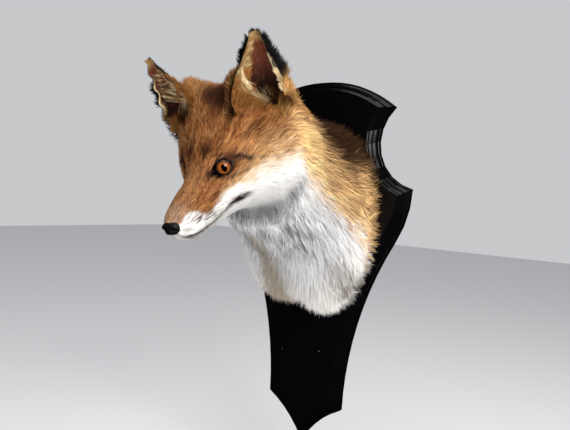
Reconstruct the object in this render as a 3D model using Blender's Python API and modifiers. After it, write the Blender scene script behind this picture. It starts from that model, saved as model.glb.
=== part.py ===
# A fox head-and-shoulder mount on a shaped wall plaque: +Z up, the wall at y = 0, the fox facing -Y.
import math

import bmesh
import bpy
import numpy as np
from mathutils import Matrix, Vector

MM = 0.001                      # every size below is in millimetres
GAP = 0.3                       # clear space left between neighbouring solids

# --- plaque -----------------------------------------------------------------------------
PLAQUE_HEIGHT = 450.0
PLAQUE_THICK = 18.0
ARCH_HALF = 98.5                # the top arch, from the centre line to its corner
ARCH_DROP = 33.5
ARCH_POWER = 2.3                # how late the arch falls away; 2 is a parabola
SHOULDER_HALF = 124.5           # the widest point, at the corner below the notch
SHOULDER_Z = 98.0
NOTCH_RADIUS = 54.5
TAPER_TOP_RADIUS = 125.0        # the side swells out, then sweeps in on a larger radius
FOOT_HALF = 52.5                # the corner where the side meets the pointed foot
FOOT_Z = -175.0
FOOT_SAG = 5.0                  # how far the pointed foot is scooped in
PLAQUE_POINTS = (9, 9, 14, 6)   # along the arch, notch, taper and foot of one half
EDGE_EASE = 0.8                 # the softened back edge
EDGE_SIDE = 7.6                 # the square side behind the moulding
EDGE_FLAT = 2.2                 # the narrow flat at the foot of the ogee
OGEE_WIDE = 8.2
OGEE_RISE = 8.4
EDGE_STEP = 1.4                 # the small step up to the face
EDGE_SHARP = math.radians(35)   # edges of the plaque steeper than this are crisp
CURVE_STEPS = 30                # points along each curve the outline is made from
RUN_ON = 30.0                   # a moved curve runs on this far, to meet its neighbours
PIN_RADIUS = 0.9
PIN_HIGH = 0.6
PIN_TOP = 0.6                   # the head's rim against its foot
PIN_PLACES = (("left", 25.0, -105.0), ("right", -29.5, -113.5))

# --- pose of the head -------------------------------------------------------------------
EYE_OUT = 215.0                 # the point midway between the eyes, out from the wall
EYE_Z = 105.0
HEAD_PITCH = math.radians(29.5)     # muzzle down
HEAD_TILT = math.radians(6.5)       # its left side up
HEAD_YAW = math.radians(6.5)        # turned a little to its own left
YAW_PIVOT = 155.0                   # out from the wall

# Sections of the head, front to back. Places are measured from the point between the eyes:
# forward and up for the top and the under side, then half the width, how far down the widest
# point lies, and how square the upper and lower halves are (2 is an ellipse).
HEAD_SECTIONS = (
    # top fwd, up     low fwd, up    half  wide  square
    (71.5, -20.0,     68.5, -37.0,    7.5, 0.55, 2.3, 2.2),
    (66.0, -14.5,     62.5, -43.0,   12.0, 0.60, 2.3, 2.1),
    (56.0, -9.5,      54.0, -47.5,   14.8, 0.62, 2.3, 2.0),
    (42.0, -4.5,      38.0, -49.5,   17.5, 0.62, 2.3, 2.0),
    (27.0, 0.5,       20.0, -50.5,   21.5, 0.62, 2.2, 2.0),
    (14.0, 9.0,        4.0, -52.0,   29.0, 0.60, 2.1, 2.0),
    (1.0, 21.0,      -11.0, -54.0,   38.5, 0.58, 2.1, 2.1),
    (-13.0, 33.0,    -22.0, -57.5,   48.0, 0.56, 2.2, 2.2),
    (-30.0, 44.0,    -30.0, -61.5,   58.0, 0.57, 2.2, 2.2),
    (-48.0, 51.0,    -37.0, -66.0,   66.0, 0.57, 2.2, 2.2),
    (-67.0, 52.0,    -44.0, -71.0,   71.0, 0.54, 2.3, 2.2),
)
# Sections of the neck and shoulders: out from the wall and height, and the same five sizes.
NECK_SECTIONS = (
    (163.0, 188.0,   133.0, 49.0,    73.0, 0.51, 2.5, 2.2),
    (138.0, 184.0,   121.0, 40.0,    75.0, 0.48, 2.7, 2.2),
    (112.0, 178.0,   103.0, 27.0,    76.0, 0.48, 2.7, 2.2),
    (86.0, 172.0,     81.0, 12.0,    78.0, 0.48, 2.6, 2.3),
    (60.0, 170.0,     62.0, -10.0,   82.0, 0.49, 2.5, 2.4),
    (40.0, 173.0,     44.0, -38.0,   88.0, 0.50, 2.5, 2.5),
    (28.0, 173.0,     31.0, -50.0,   89.0, 0.51, 2.5, 2.6),
    (18.3, 167.0,     18.3, -45.0,   85.0, 0.51, 2.5, 2.6),
)
TURN_FULL = 9.0                 # the head's turn is whole up to this section
TURN_NONE = 15.5                # and has died away by this one
HEAD_END = 11.0                 # section where the head node meets the neck node
NECK_END = 14.2                 # section where the neck node meets the shoulders node
NODE_STEP = 0.03                # the share of a section left open between them

EYE_RADIUS = 8.6
EYE_FRONT = (5.5, -1.2, 24.3)   # the middle of the eye's face
EYE_AXIS = (0.75, 0.08, 0.655)

# Rises and hollows on the head: centre (forward, up, to the side), reach, push.
# Those off the centre line stand on both sides.
SWELLS = (
    ((8.0, 13.0, 17.0), 9.0, (1.5, 2.5, 1.5)),        # brow
    (EYE_FRONT, 8.0, (-4.5, -0.5, -4.0)),             # eye socket
    ((20.0, -6.0, 18.0), 9.0, (0.0, 0.0, -2.5)),      # hollow before the eye
    ((-14.0, -12.0, 40.0), 14.0, (0.0, 0.0, 1.5)),    # cheekbone
    ((54.0, -31.0, 15.0), 10.0, (0.0, 0.0, 2.2)),     # whisker pad
    ((-48.0, -26.0, 62.0), 24.0, (-2.0, -2.0, 4.0)),  # cheek ruff
    ((-52.0, 44.0, 38.0), 16.0, (2.0, 6.0, 6.0)),     # fur round the root of the ear
    ((-80.0, 34.0, 56.0), 18.0, (-3.0, 3.0, 9.0)),    # and behind it
    ((-53.0, 52.0, 29.0), 12.0, (1.0, 20.0, 0.0)),    # tuft at its inner side
    ((-47.0, 47.0, 49.0), 9.0, (-1.0, -8.0, -6.0)),   # hollow at the bottom of the ear's cup
)
# Locks that hang against the plaque: centre (x, z), reach, and how far they drop.
HANGS = (((46.0, -44.0), 24.0, 11.0), ((-38.0, -40.0), 18.0, 3.0), ((-2.0, -46.0), 9.0, -6.0))
MUZZLE_ROUND = 2.5              # how far the muzzle bulges past its first section
RINGS_HEAD = 33
RINGS_NECK = 8
RINGS_SHOULDERS = 11
RING_POINTS = 40

# --- mouth line, eyes, nose, ears -------------------------------------------------------
MOUTH_LINE = ((80.0, -41.0), (66.0, -39.5), (54.0, -40.5), (40.0, -40.0), (24.0, -36.5), (7.0, -33.5))
JAW_BACK = ((-10.0, -46.0), (-26.0, -90.0), (80.0, -90.0))
JAW_REACH = 70.0                # the block that parts the jaw stands this far to either side
NOSE_CENTRE = (69.5, -25.5, 0.0)
NOSE_HALF = (5.8, 5.6, 8.6)     # deep, high and half wide
NOSE_AXIS = (0.96, -0.2, 0.0)
NOSE_SQUARE = 2.7
NOSTRILS = tuple(((75.0, -26.0, side * 4.5), 2.0, (-2.4, 0.0, -0.8 * side)) for side in (1, -1))
EAR_THICK = 3.2
# Each ear: its root and tip, the way its cup opens, how far it bows outwards, and its
# sections from root to tip: half width along the curve and curl in degrees, first of the
# inner half and then of the outer one. The two dried a little differently.
EARS = {
    "left": dict(hand=1, root=(-62.0, 22.0, 46.0), tip=(-50.0, 102.0, 64.0), opens=(0.85, 0.10, 0.50), bow=6.0,
                 sections=((36.0, 60.0, 32.0, 80.0), (44.0, 56.0, 40.0, 95.0), (47.0, 52.0, 41.0, 108.0),
                           (41.0, 52.0, 33.0, 112.0), (23.0, 56.0, 20.0, 110.0), (6.0, 50.0, 7.0, 80.0))),
    "right": dict(hand=-1, root=(-60.0, 22.0, 38.0), tip=(-48.0, 101.0, 66.0), opens=(0.92, 0.10, 0.24), bow=-2.0,
                  sections=((30.0, 60.0, 28.0, 75.0), (38.0, 60.0, 31.0, 85.0), (38.0, 60.0, 29.0, 92.0),
                            (29.0, 62.0, 23.0, 98.0), (16.0, 65.0, 13.0, 98.0), (4.5, 50.0, 5.0, 70.0))),
}
EAR_ROWS = 11
EAR_COLUMNS = 13


def clear_scene():
    for old in list(bpy.data.objects):
        bpy.data.objects.remove(old, do_unlink=True)


def new_collection(name):
    made = bpy.data.collections.new(name)
    bpy.context.scene.collection.children.link(made)
    return made


def material(name, colour, roughness, metallic=0.0):
    made = bpy.data.materials.new(name)
    made.use_nodes = True
    shader = made.node_tree.nodes["Principled BSDF"]
    shader.inputs["Base Color"].default_value = (*colour, 1.0)
    shader.inputs["Roughness"].default_value = roughness
    shader.inputs["Metallic"].default_value = metallic
    return made


def add_object(name, mesh, finish, home, smooth=True):
    made = bpy.data.objects.new(name, mesh)
    home.objects.link(made)
    if finish:
        mesh.materials.append(finish)
    if smooth:
        mesh.shade_smooth()
    return made


def mesh_from(name, points, faces):
    """A mesh from points in millimetres, its faces turned outwards."""
    mesh = bpy.data.meshes.new(name)
    mesh.from_pydata([tuple(p) for p in np.asarray(points) * MM], [], faces)
    work = bmesh.new()
    work.from_mesh(mesh)
    bmesh.ops.recalc_face_normals(work, faces=work.faces[:])
    work.to_mesh(mesh)
    work.free()
    return mesh


# --- the body's surface -----------------------------------------------------------------
def head_axes():
    forward = np.array([0.0, -math.cos(HEAD_PITCH), -math.sin(HEAD_PITCH)])
    up = np.array([0.0, -math.sin(HEAD_PITCH), math.cos(HEAD_PITCH)])
    side = np.array([1.0, 0.0, 0.0])
    return np.stack([forward, up, side])


EYE_MID = np.array([0.0, -EYE_OUT, EYE_Z])


def from_head(places):
    """Forward, up and side places on the unturned head, as x, y, z."""
    return EYE_MID + np.asarray(places, float) @ head_axes()


def to_head(points):
    return (points - EYE_MID) @ head_axes().T


def turn(points, share):
    """Tilts and yaws points of the neck and head by a share of the head's own turn."""
    share = np.broadcast_to(np.asarray(share, float), points.shape[:-1])[..., None]
    axis = head_axes()[0]
    angle = HEAD_TILT * share
    arm = points - EYE_MID
    along = (arm @ axis)[..., None] * axis
    arm = arm * np.cos(angle) + np.cross(axis, arm) * np.sin(angle) + along * (1 - np.cos(angle))
    tilted = arm + EYE_MID
    angle = (HEAD_YAW * share)[..., 0]
    x, y = tilted[..., 0], tilted[..., 1] + YAW_PIVOT
    out = np.empty_like(tilted)
    out[..., 0] = x * np.cos(angle) - y * np.sin(angle)
    out[..., 1] = x * np.sin(angle) + y * np.cos(angle) - YAW_PIVOT
    out[..., 2] = tilted[..., 2]
    return out


def section_table():
    rows = []
    for fwd_top, up_top, fwd_low, up_low, *sizes in HEAD_SECTIONS:
        top, low = from_head([(fwd_top, up_top, 0.0), (fwd_low, up_low, 0.0)])
        rows.append([-top[1], top[2], -low[1], low[2], *sizes])
    return np.array(rows + [list(row) for row in NECK_SECTIONS])


SECTIONS = section_table()


def between(table, s):
    """Smooth values of the table at section number s, through every row."""
    s = np.clip(s, 0.0, len(table) - 1.0)
    i = np.minimum(s.astype(int), len(table) - 2)
    t = (s - i)[..., None]
    a, b, c, d = (table[np.clip(i + k, 0, len(table) - 1)] for k in (-1, 0, 1, 2))
    return 0.5 * (2 * b + (c - a) * t + (2 * a - 5 * b + 4 * c - d) * t**2 + (3 * b - a - 3 * c + d) * t**3)


def body_surface(s, angle):
    """The coat's outer surface at section s and angle from the top line, on the unturned body."""
    out_top, z_top, out_low, z_low, half, wide, square_up, square_low = np.moveaxis(between(SECTIONS, s), -1, 0)
    top = np.stack([0 * s, -out_top, z_top], -1)
    low = np.stack([0 * s, -out_low, z_low], -1)
    middle = top + (low - top) * wide[..., None]
    upper = np.cos(angle) >= 0
    power = 2 / np.where(upper, square_up, square_low)
    rise = np.abs(np.cos(angle)) ** power
    reach = np.sign(np.sin(angle)) * np.abs(np.sin(angle)) ** power
    edge = np.where(upper[..., None], top, low)
    points = middle + (edge - middle) * rise[..., None]
    points[..., 0] += half * reach
    place = to_head(points)
    for centre, size, push in SWELLS:
        for hand in (1, -1) if centre[2] else (1,):
            away = place - np.array([centre[0], centre[1], centre[2] * hand])
            weight = np.exp(-np.sum(away**2, -1) / (2 * size**2))
            points = points + weight[..., None] * (np.array([push[0], push[1], push[2] * hand]) @ head_axes())
    for (x, z), size, drop in HANGS:
        away = (points[..., 0] - x) ** 2 + (points[..., 2] - z) ** 2
        points[..., 2] = points[..., 2] - drop * np.exp(-away / (2 * size**2))
    return points


def turn_share(s):
    t = np.clip((TURN_NONE - s) / (TURN_NONE - TURN_FULL), 0.0, 1.0)
    return t * t * (3 - 2 * t)


def body_points(s, angle, grow=0.0):
    points = body_surface(s, angle)
    if grow:
        step = 1e-3
        along = body_surface(s + step, angle) - body_surface(s - step, angle)
        across = body_surface(s, angle + step) - body_surface(s, angle - step)
        normal = np.cross(along, across)
        normal /= np.linalg.norm(normal, axis=-1, keepdims=True) + 1e-12
        outward = points - points.mean(axis=-2, keepdims=True)
        normal *= np.sign(np.sum(normal * outward, -1, keepdims=True))
        points = points + normal * grow
    return turn(points, turn_share(s))


def loft(name, start, end, rings, grow=0.0):
    """A closed solid between two sections; a start of 0 gets the rounded muzzle end."""
    s = np.linspace(start, end, rings)[:, None]
    angle = (np.arange(RING_POINTS) * 2 * math.pi / RING_POINTS)[None, :]
    grid = body_points(s + 0 * angle, angle + 0 * s, grow)
    points = grid.reshape(-1, 3).tolist()
    faces = []
    for i in range(rings - 1):
        for j in range(RING_POINTS):
            k = (j + 1) % RING_POINTS
            a, b = i * RING_POINTS, (i + 1) * RING_POINTS
            faces.append((a + j, a + k, b + k, b + j))
    for row in (0, rings - 1):
        base = row * RING_POINTS
        centre = grid[row].mean(axis=0)
        if row == 0 and start == 0:
            centre = centre + MUZZLE_ROUND * head_axes()[0]
        points.append(centre.tolist())
        faces += [(base + j, base + (j + 1) % RING_POINTS, len(points) - 1) for j in range(RING_POINTS)]
    return mesh_from(name, points, faces)


# --- head pieces ------------------------------------------------------------------------
def block_from_outline(name, outline, grow=0.0):
    """A slab on the head's middle plane, from a (forward, up) outline grown outwards."""
    shape = np.array(outline)
    if grow:
        shape = moved_out(shape, grow)
    count = len(shape)
    places = [(f, u, side) for side in (-JAW_REACH - grow, JAW_REACH + grow) for f, u in shape]
    faces = [tuple(range(count)), tuple(range(2 * count - 1, count - 1, -1))]
    faces += [(i, (i + 1) % count, count + (i + 1) % count, count + i) for i in range(count)]
    return mesh_from(name, turn(from_head(places), 1.0), faces)


def moved_out(outline, distance):
    """The closed outline moved outwards by a distance, with mitred corners."""
    before = np.roll(outline, 1, axis=0)
    after = np.roll(outline, -1, axis=0)
    turning = np.sum(outline[:, 0] * after[:, 1] - after[:, 0] * outline[:, 1])
    hand = 1.0 if turning > 0 else -1.0

    def inward(step):
        step = step / np.linalg.norm(step, axis=1, keepdims=True)
        return np.stack([-step[:, 1], step[:, 0]], 1) * hand

    first, second = inward(outline - before), inward(after - outline)
    mitre = first + second
    mitre /= np.sum(mitre * first, axis=1, keepdims=True)
    return outline - mitre * distance


def rounded_ball(name, centre, half, axis, grow=0.0, square=2.0, dents=(), sides=18, rings=11):
    """A ball at a place on the head, its pole along the axis: half sizes along the axis, up
    and sideways, squareness (2 is an ellipsoid), and dents as (centre, reach, push)."""
    work = bmesh.new()
    bmesh.ops.create_uvsphere(work, u_segments=sides, v_segments=rings, radius=1.0)
    pole = np.array(axis, float) / np.linalg.norm(axis)
    side = np.cross((0.0, 1.0, 0.0), pole)
    side /= np.linalg.norm(side)
    frame = np.stack([side, np.cross(pole, side), pole])
    sizes = np.array([half[2], half[1], half[0]]) + grow
    for vert in work.verts:
        unit = np.array(vert.co)
        unit = unit / np.sum(np.abs(unit) ** square) ** (1 / square)
        place = np.array(centre) + (unit * sizes) @ frame
        for middle, reach, push in dents:
            away = np.sum((place - np.array(middle)) ** 2)
            place = place + np.array(push) * math.exp(-away / (2 * reach**2))
        vert.co = Vector(turn(from_head([place]), 1.0)[0] * MM)
    work.normal_update()
    bmesh.ops.recalc_face_normals(work, faces=work.faces[:])
    mesh = bpy.data.meshes.new(name)
    work.to_mesh(mesh)
    work.free()
    return mesh


def eye_centre(hand):
    axis = np.array([EYE_AXIS[0], EYE_AXIS[1], EYE_AXIS[2] * hand])
    front = np.array([EYE_FRONT[0], EYE_FRONT[1], EYE_FRONT[2] * hand])
    return front - EYE_RADIUS * axis / np.linalg.norm(axis), axis


def ear_mesh(name, shape):
    """The open cup of one ear, rows from root to tip and columns from inner to outer edge."""
    hand = np.array([1.0, 1.0, shape["hand"]])
    root, tip, opens = (np.array(shape[key]) * hand for key in ("root", "tip", "opens"))
    along = (tip - root) / np.linalg.norm(tip - root)
    opens -= along * (opens @ along)
    opens /= np.linalg.norm(opens)
    across = np.cross(along, opens)
    across *= np.sign(across[2] * shape["hand"])
    table = np.array(shape["sections"])
    rows = between(table, np.linspace(0, len(table) - 1, EAR_ROWS))
    places = []
    for share, (inner, inner_curl, outer, outer_curl) in zip(np.linspace(0, 1, EAR_ROWS), rows):
        spine = root + (tip - root) * share + across * shape["bow"] * math.sin(math.pi * share)
        for w in np.linspace(-1, 1, EAR_COLUMNS):
            half, curl = (outer, math.radians(outer_curl)) if w > 0 else (inner, math.radians(inner_curl))
            radius = half / curl
            place = spine + across * radius * math.sin(w * curl)
            places.append(place + opens * radius * (1 - math.cos(w * curl)))
    faces = [
        (i * EAR_COLUMNS + j, i * EAR_COLUMNS + j + 1, (i + 1) * EAR_COLUMNS + j + 1, (i + 1) * EAR_COLUMNS + j)
        for i in range(EAR_ROWS - 1) for j in range(EAR_COLUMNS - 1)
    ]
    if shape["hand"] < 0:
        faces = [face[::-1] for face in faces]
    mesh = bpy.data.meshes.new(name)
    mesh.from_pydata([tuple(p) for p in turn(from_head(places), 1.0) * MM], [], faces)
    return mesh


# --- plaque -----------------------------------------------------------------------------
def arc(centre, radius, start, end, steps):
    """Points of an arc from one angle to another in degrees."""
    angles = np.radians(np.linspace(start, end, steps + 1))
    return np.stack([centre[0] + radius * np.cos(angles), centre[1] + radius * np.sin(angles)], 1)


def plaque_sides():
    """The right half of the outline as four curves: arch, notch, taper and foot."""
    top = PLAQUE_HEIGHT / 2
    x = np.linspace(0, ARCH_HALF, CURVE_STEPS)
    arch = np.stack([x, top - ARCH_DROP * (x / ARCH_HALF) ** ARCH_POWER], 1)
    corner = arch[-1]
    shoulder = np.array([SHOULDER_HALF, SHOULDER_Z])
    chord = shoulder - corner
    half = np.linalg.norm(chord) / 2
    outward = np.array([-chord[1], chord[0]]) / (2 * half)
    centre = (corner + shoulder) / 2 + outward * math.sqrt(NOTCH_RADIUS**2 - half**2)
    first, last = (math.degrees(math.atan2(*(p - centre)[::-1])) % 360 for p in (corner, shoulder))
    notch = arc(centre, NOTCH_RADIUS, first, last, CURVE_STEPS)
    # Two arcs that meet in line: both radii together follow from the fall and the narrowing.
    fall, narrowing = SHOULDER_Z - FOOT_Z, SHOULDER_HALF - FOOT_HALF
    swing = 2 * math.atan(narrowing / fall)
    low_radius = fall / math.sin(swing) - TAPER_TOP_RADIUS
    swing = math.degrees(swing)
    upper = arc((SHOULDER_HALF - TAPER_TOP_RADIUS, SHOULDER_Z), TAPER_TOP_RADIUS, 0, -swing, CURVE_STEPS // 2)
    lower = arc((FOOT_HALF + low_radius, FOOT_Z), low_radius, 180 - swing, 180, CURVE_STEPS)
    foot = np.array([FOOT_HALF, FOOT_Z])
    tip = np.array([0.0, -top])
    inward = np.array([(tip - foot)[1], -(tip - foot)[0]]) / np.linalg.norm(tip - foot)
    t = np.linspace(0, 1, CURVE_STEPS)[:, None]
    scoop = foot + (tip - foot) * t + inward * FOOT_SAG * 4 * t * (1 - t)
    return arch, notch, np.concatenate([upper, lower[1:]]), scoop


def shifted(curve, distance):
    """The curve moved to its right by a distance and run on a little past both ends."""
    step = np.gradient(curve, axis=0)
    step /= np.linalg.norm(step, axis=1, keepdims=True)
    moved = curve + np.stack([step[:, 1], -step[:, 0]], 1) * distance
    return np.concatenate([[moved[0] - step[0] * RUN_ON], moved, [moved[-1] + step[-1] * RUN_ON]])


def crossing(first, second):
    """Where two curves cross: the place, and how far along each it lies, in steps."""
    for i in range(len(first) - 1):
        for j in range(len(second) - 1):
            a, b = first[i + 1] - first[i], second[j + 1] - second[j]
            across = a[0] * b[1] - a[1] * b[0]
            if abs(across) < 1e-9:
                continue
            gap = second[j] - first[i]
            t = (gap[0] * b[1] - gap[1] * b[0]) / across
            u = (gap[0] * a[1] - gap[1] * a[0]) / across
            if 0 <= t <= 1 and 0 <= u <= 1:
                return first[i] + a * t, i + t, j + u
    raise ValueError("the curves do not cross")


def spaced(points, count):
    """The same line as evenly spaced points."""
    length = np.concatenate([[0], np.cumsum(np.linalg.norm(np.diff(points, axis=0), axis=1))])
    want = np.linspace(0, length[-1], count)
    return np.stack([np.interp(want, length, points[:, k]) for k in (0, 1)], 1)


def plaque_ring(distance):
    """The whole outline, moved inwards by a distance, always with the same number of points."""
    axis = np.array([[0.0, PLAQUE_HEIGHT], [0.0, -PLAQUE_HEIGHT]])
    curves = [axis] + [shifted(side, distance) for side in plaque_sides()] + [axis]
    meets = [crossing(curves[k], curves[k + 1]) for k in range(len(curves) - 1)]
    half = []
    for k, count in enumerate(PLAQUE_POINTS, start=1):
        start, _, low = meets[k - 1]
        end, high, _ = meets[k]
        inside = curves[k][math.floor(low) + 1:math.ceil(high)]
        half += list(spaced(np.concatenate([[start], inside, [end]]), count)[:-1])
    half.append(meets[-1][0])
    half = np.array(half)
    return np.concatenate([half, (half * (-1, 1))[-2:0:-1]])


def plaque_mesh():
    profile = [(EDGE_EASE, 0.0), (0.0, EDGE_EASE), (0.0, EDGE_SIDE - 0.5), (0.5, EDGE_SIDE), (EDGE_FLAT, EDGE_SIDE)]
    for t in np.linspace(0, 1, 6)[1:]:
        profile.append((EDGE_FLAT + OGEE_WIDE * t, EDGE_SIDE + OGEE_RISE * t * t * (3 - 2 * t)))
    step_foot = EDGE_FLAT + OGEE_WIDE + EDGE_STEP / 2
    profile += [(step_foot, PLAQUE_THICK - EDGE_STEP), (step_foot + EDGE_STEP / 2, PLAQUE_THICK)]
    rings = [plaque_ring(distance) for distance, _ in profile]
    count = len(rings[0])
    points = [(x, -out, z) for ring, (_, out) in zip(rings, profile) for x, z in ring]
    faces = []
    for i in range(len(profile) - 1):
        for j in range(count):
            k = (j + 1) % count
            faces.append((i * count + j, i * count + k, (i + 1) * count + k, (i + 1) * count + j))
    last = (len(profile) - 1) * count
    faces += [tuple(range(count)), tuple(range(last, last + count))]
    mesh = mesh_from("plaque", points, faces)
    mesh.shade_smooth()
    mesh.set_sharp_from_angle(angle=EDGE_SHARP)
    return mesh


def pin_mesh(name, x, z):
    work = bmesh.new()
    bmesh.ops.create_cone(work, cap_ends=True, segments=12, radius1=PIN_RADIUS * MM,
                          radius2=PIN_RADIUS * PIN_TOP * MM, depth=PIN_HIGH * MM)
    place = Vector((x, -(PLAQUE_THICK + GAP + PIN_HIGH / 2), z)) * MM
    bmesh.ops.transform(work, matrix=Matrix.Translation(place) @ Matrix.Rotation(math.pi / 2, 4, "X"),
                        verts=work.verts[:])
    mesh = bpy.data.meshes.new(name)
    work.to_mesh(mesh)
    work.free()
    return mesh


def cut(target, name, cutter, operation="DIFFERENCE"):
    boolean = target.modifiers.new(name, "BOOLEAN")
    boolean.operation = operation
    boolean.object = cutter
    boolean.solver = "EXACT"


def as_cutter(name, mesh, home):
    made = add_object(name, mesh, None, home)
    made.hide_render = True
    made.display_type = "WIRE"
    return made


def build():
    clear_scene()
    parts = new_collection("taxidermy_fox")
    cutters = new_collection("cutters")
    fur_red = material("fur_red", (0.50, 0.22, 0.07), 0.9)
    fur_pale = material("fur_pale", (0.80, 0.77, 0.72), 0.9)
    ear_skin = material("ear_skin", (0.10, 0.04, 0.02), 0.9)
    nose_black = material("nose_black", (0.015, 0.014, 0.015), 0.35)
    eye_glass = material("eye_glass", (0.30, 0.10, 0.02), 0.05)
    lacquer = material("black_lacquer", (0.008, 0.008, 0.009), 0.35)
    steel = material("pin_steel", (0.35, 0.34, 0.32), 0.4, 1.0)

    head = add_object("head", loft("head", 0, HEAD_END, RINGS_HEAD), fur_red, parts)
    neck_span = (HEAD_END + NODE_STEP, NECK_END, RINGS_NECK)
    add_object("neck", loft("neck", *neck_span), fur_red, parts)
    last = len(SECTIONS) - 1
    add_object("shoulders", loft("shoulders", NECK_END + NODE_STEP, last, RINGS_SHOULDERS), fur_pale, parts)

    jaw_outline = MOUTH_LINE + JAW_BACK
    jaw = add_object("lower_jaw", loft("lower_jaw", 0, HEAD_END, RINGS_HEAD), fur_pale, parts)
    cut(jaw, "below_mouth", as_cutter("jaw_block", block_from_outline("jaw_block", jaw_outline), cutters),
        "INTERSECT")
    wide_block = block_from_outline("jaw_space", jaw_outline, GAP)
    cut(head, "mouth_line", as_cutter("jaw_space", wide_block, cutters))

    pad = dict(centre=NOSE_CENTRE, half=NOSE_HALF, axis=NOSE_AXIS, square=NOSE_SQUARE)
    add_object("nose", rounded_ball("nose", **pad, dents=NOSTRILS, sides=24, rings=14), nose_black, parts)
    cut(head, "nose_seat", as_cutter("nose_seat", rounded_ball("nose_seat", **pad, grow=GAP), cutters))
    skull = as_cutter("head_grown", loft("head_grown", 0, HEAD_END, RINGS_HEAD, GAP), cutters)
    nape = as_cutter("neck_grown", loft("neck_grown", *neck_span, GAP), cutters)
    for side, hand in (("left", 1), ("right", -1)):
        centre, axis = eye_centre(hand)
        ball = dict(centre=centre, half=(EYE_RADIUS,) * 3, axis=axis)
        add_object("eye_" + side, rounded_ball("eye_" + side, **ball), eye_glass, parts)
        seat = as_cutter("socket_" + side, rounded_ball("socket_" + side, **ball, grow=GAP), cutters)
        cut(head, "socket_" + side, seat)
        ear = add_object("ear_" + side, ear_mesh("ear_" + side, EARS[side]), ear_skin, parts)
        wall = ear.modifiers.new("wall", "SOLIDIFY")
        wall.thickness = EAR_THICK * MM
        wall.offset = 0.0
        cut(ear, "root", skull)
        cut(ear, "root_behind", nape)
    add_object("plaque", plaque_mesh(), lacquer, parts, smooth=False)
    for side, x, z in PIN_PLACES:
        add_object("pin_" + side, pin_mesh("pin_" + side, x, z), steel, parts)


build()
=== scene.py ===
import math

import bmesh
import bpy
import numpy as np
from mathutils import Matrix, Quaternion, Vector, kdtree
from mathutils.bvhtree import BVHTree


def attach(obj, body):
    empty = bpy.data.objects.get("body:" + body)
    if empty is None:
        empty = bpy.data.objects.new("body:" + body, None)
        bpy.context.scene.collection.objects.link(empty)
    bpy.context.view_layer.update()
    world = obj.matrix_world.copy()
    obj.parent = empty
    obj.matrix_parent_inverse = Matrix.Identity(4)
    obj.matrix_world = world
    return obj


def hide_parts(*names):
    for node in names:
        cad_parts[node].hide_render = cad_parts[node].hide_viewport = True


# A mounted fox, head and shoulders in full coat, on a black plaque: the looks over its CAD part.
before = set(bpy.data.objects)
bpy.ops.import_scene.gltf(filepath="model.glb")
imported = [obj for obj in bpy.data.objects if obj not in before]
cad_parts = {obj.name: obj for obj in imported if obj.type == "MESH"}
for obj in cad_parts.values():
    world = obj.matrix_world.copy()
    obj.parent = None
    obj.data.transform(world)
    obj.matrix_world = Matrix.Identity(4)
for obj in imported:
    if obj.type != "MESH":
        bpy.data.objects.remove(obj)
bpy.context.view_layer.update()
print("frame loaded:", len(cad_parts), "nodes")

mm = 0.001
chance = np.random.default_rng(7)
hands = {"left": 1, "right": -1}

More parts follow.
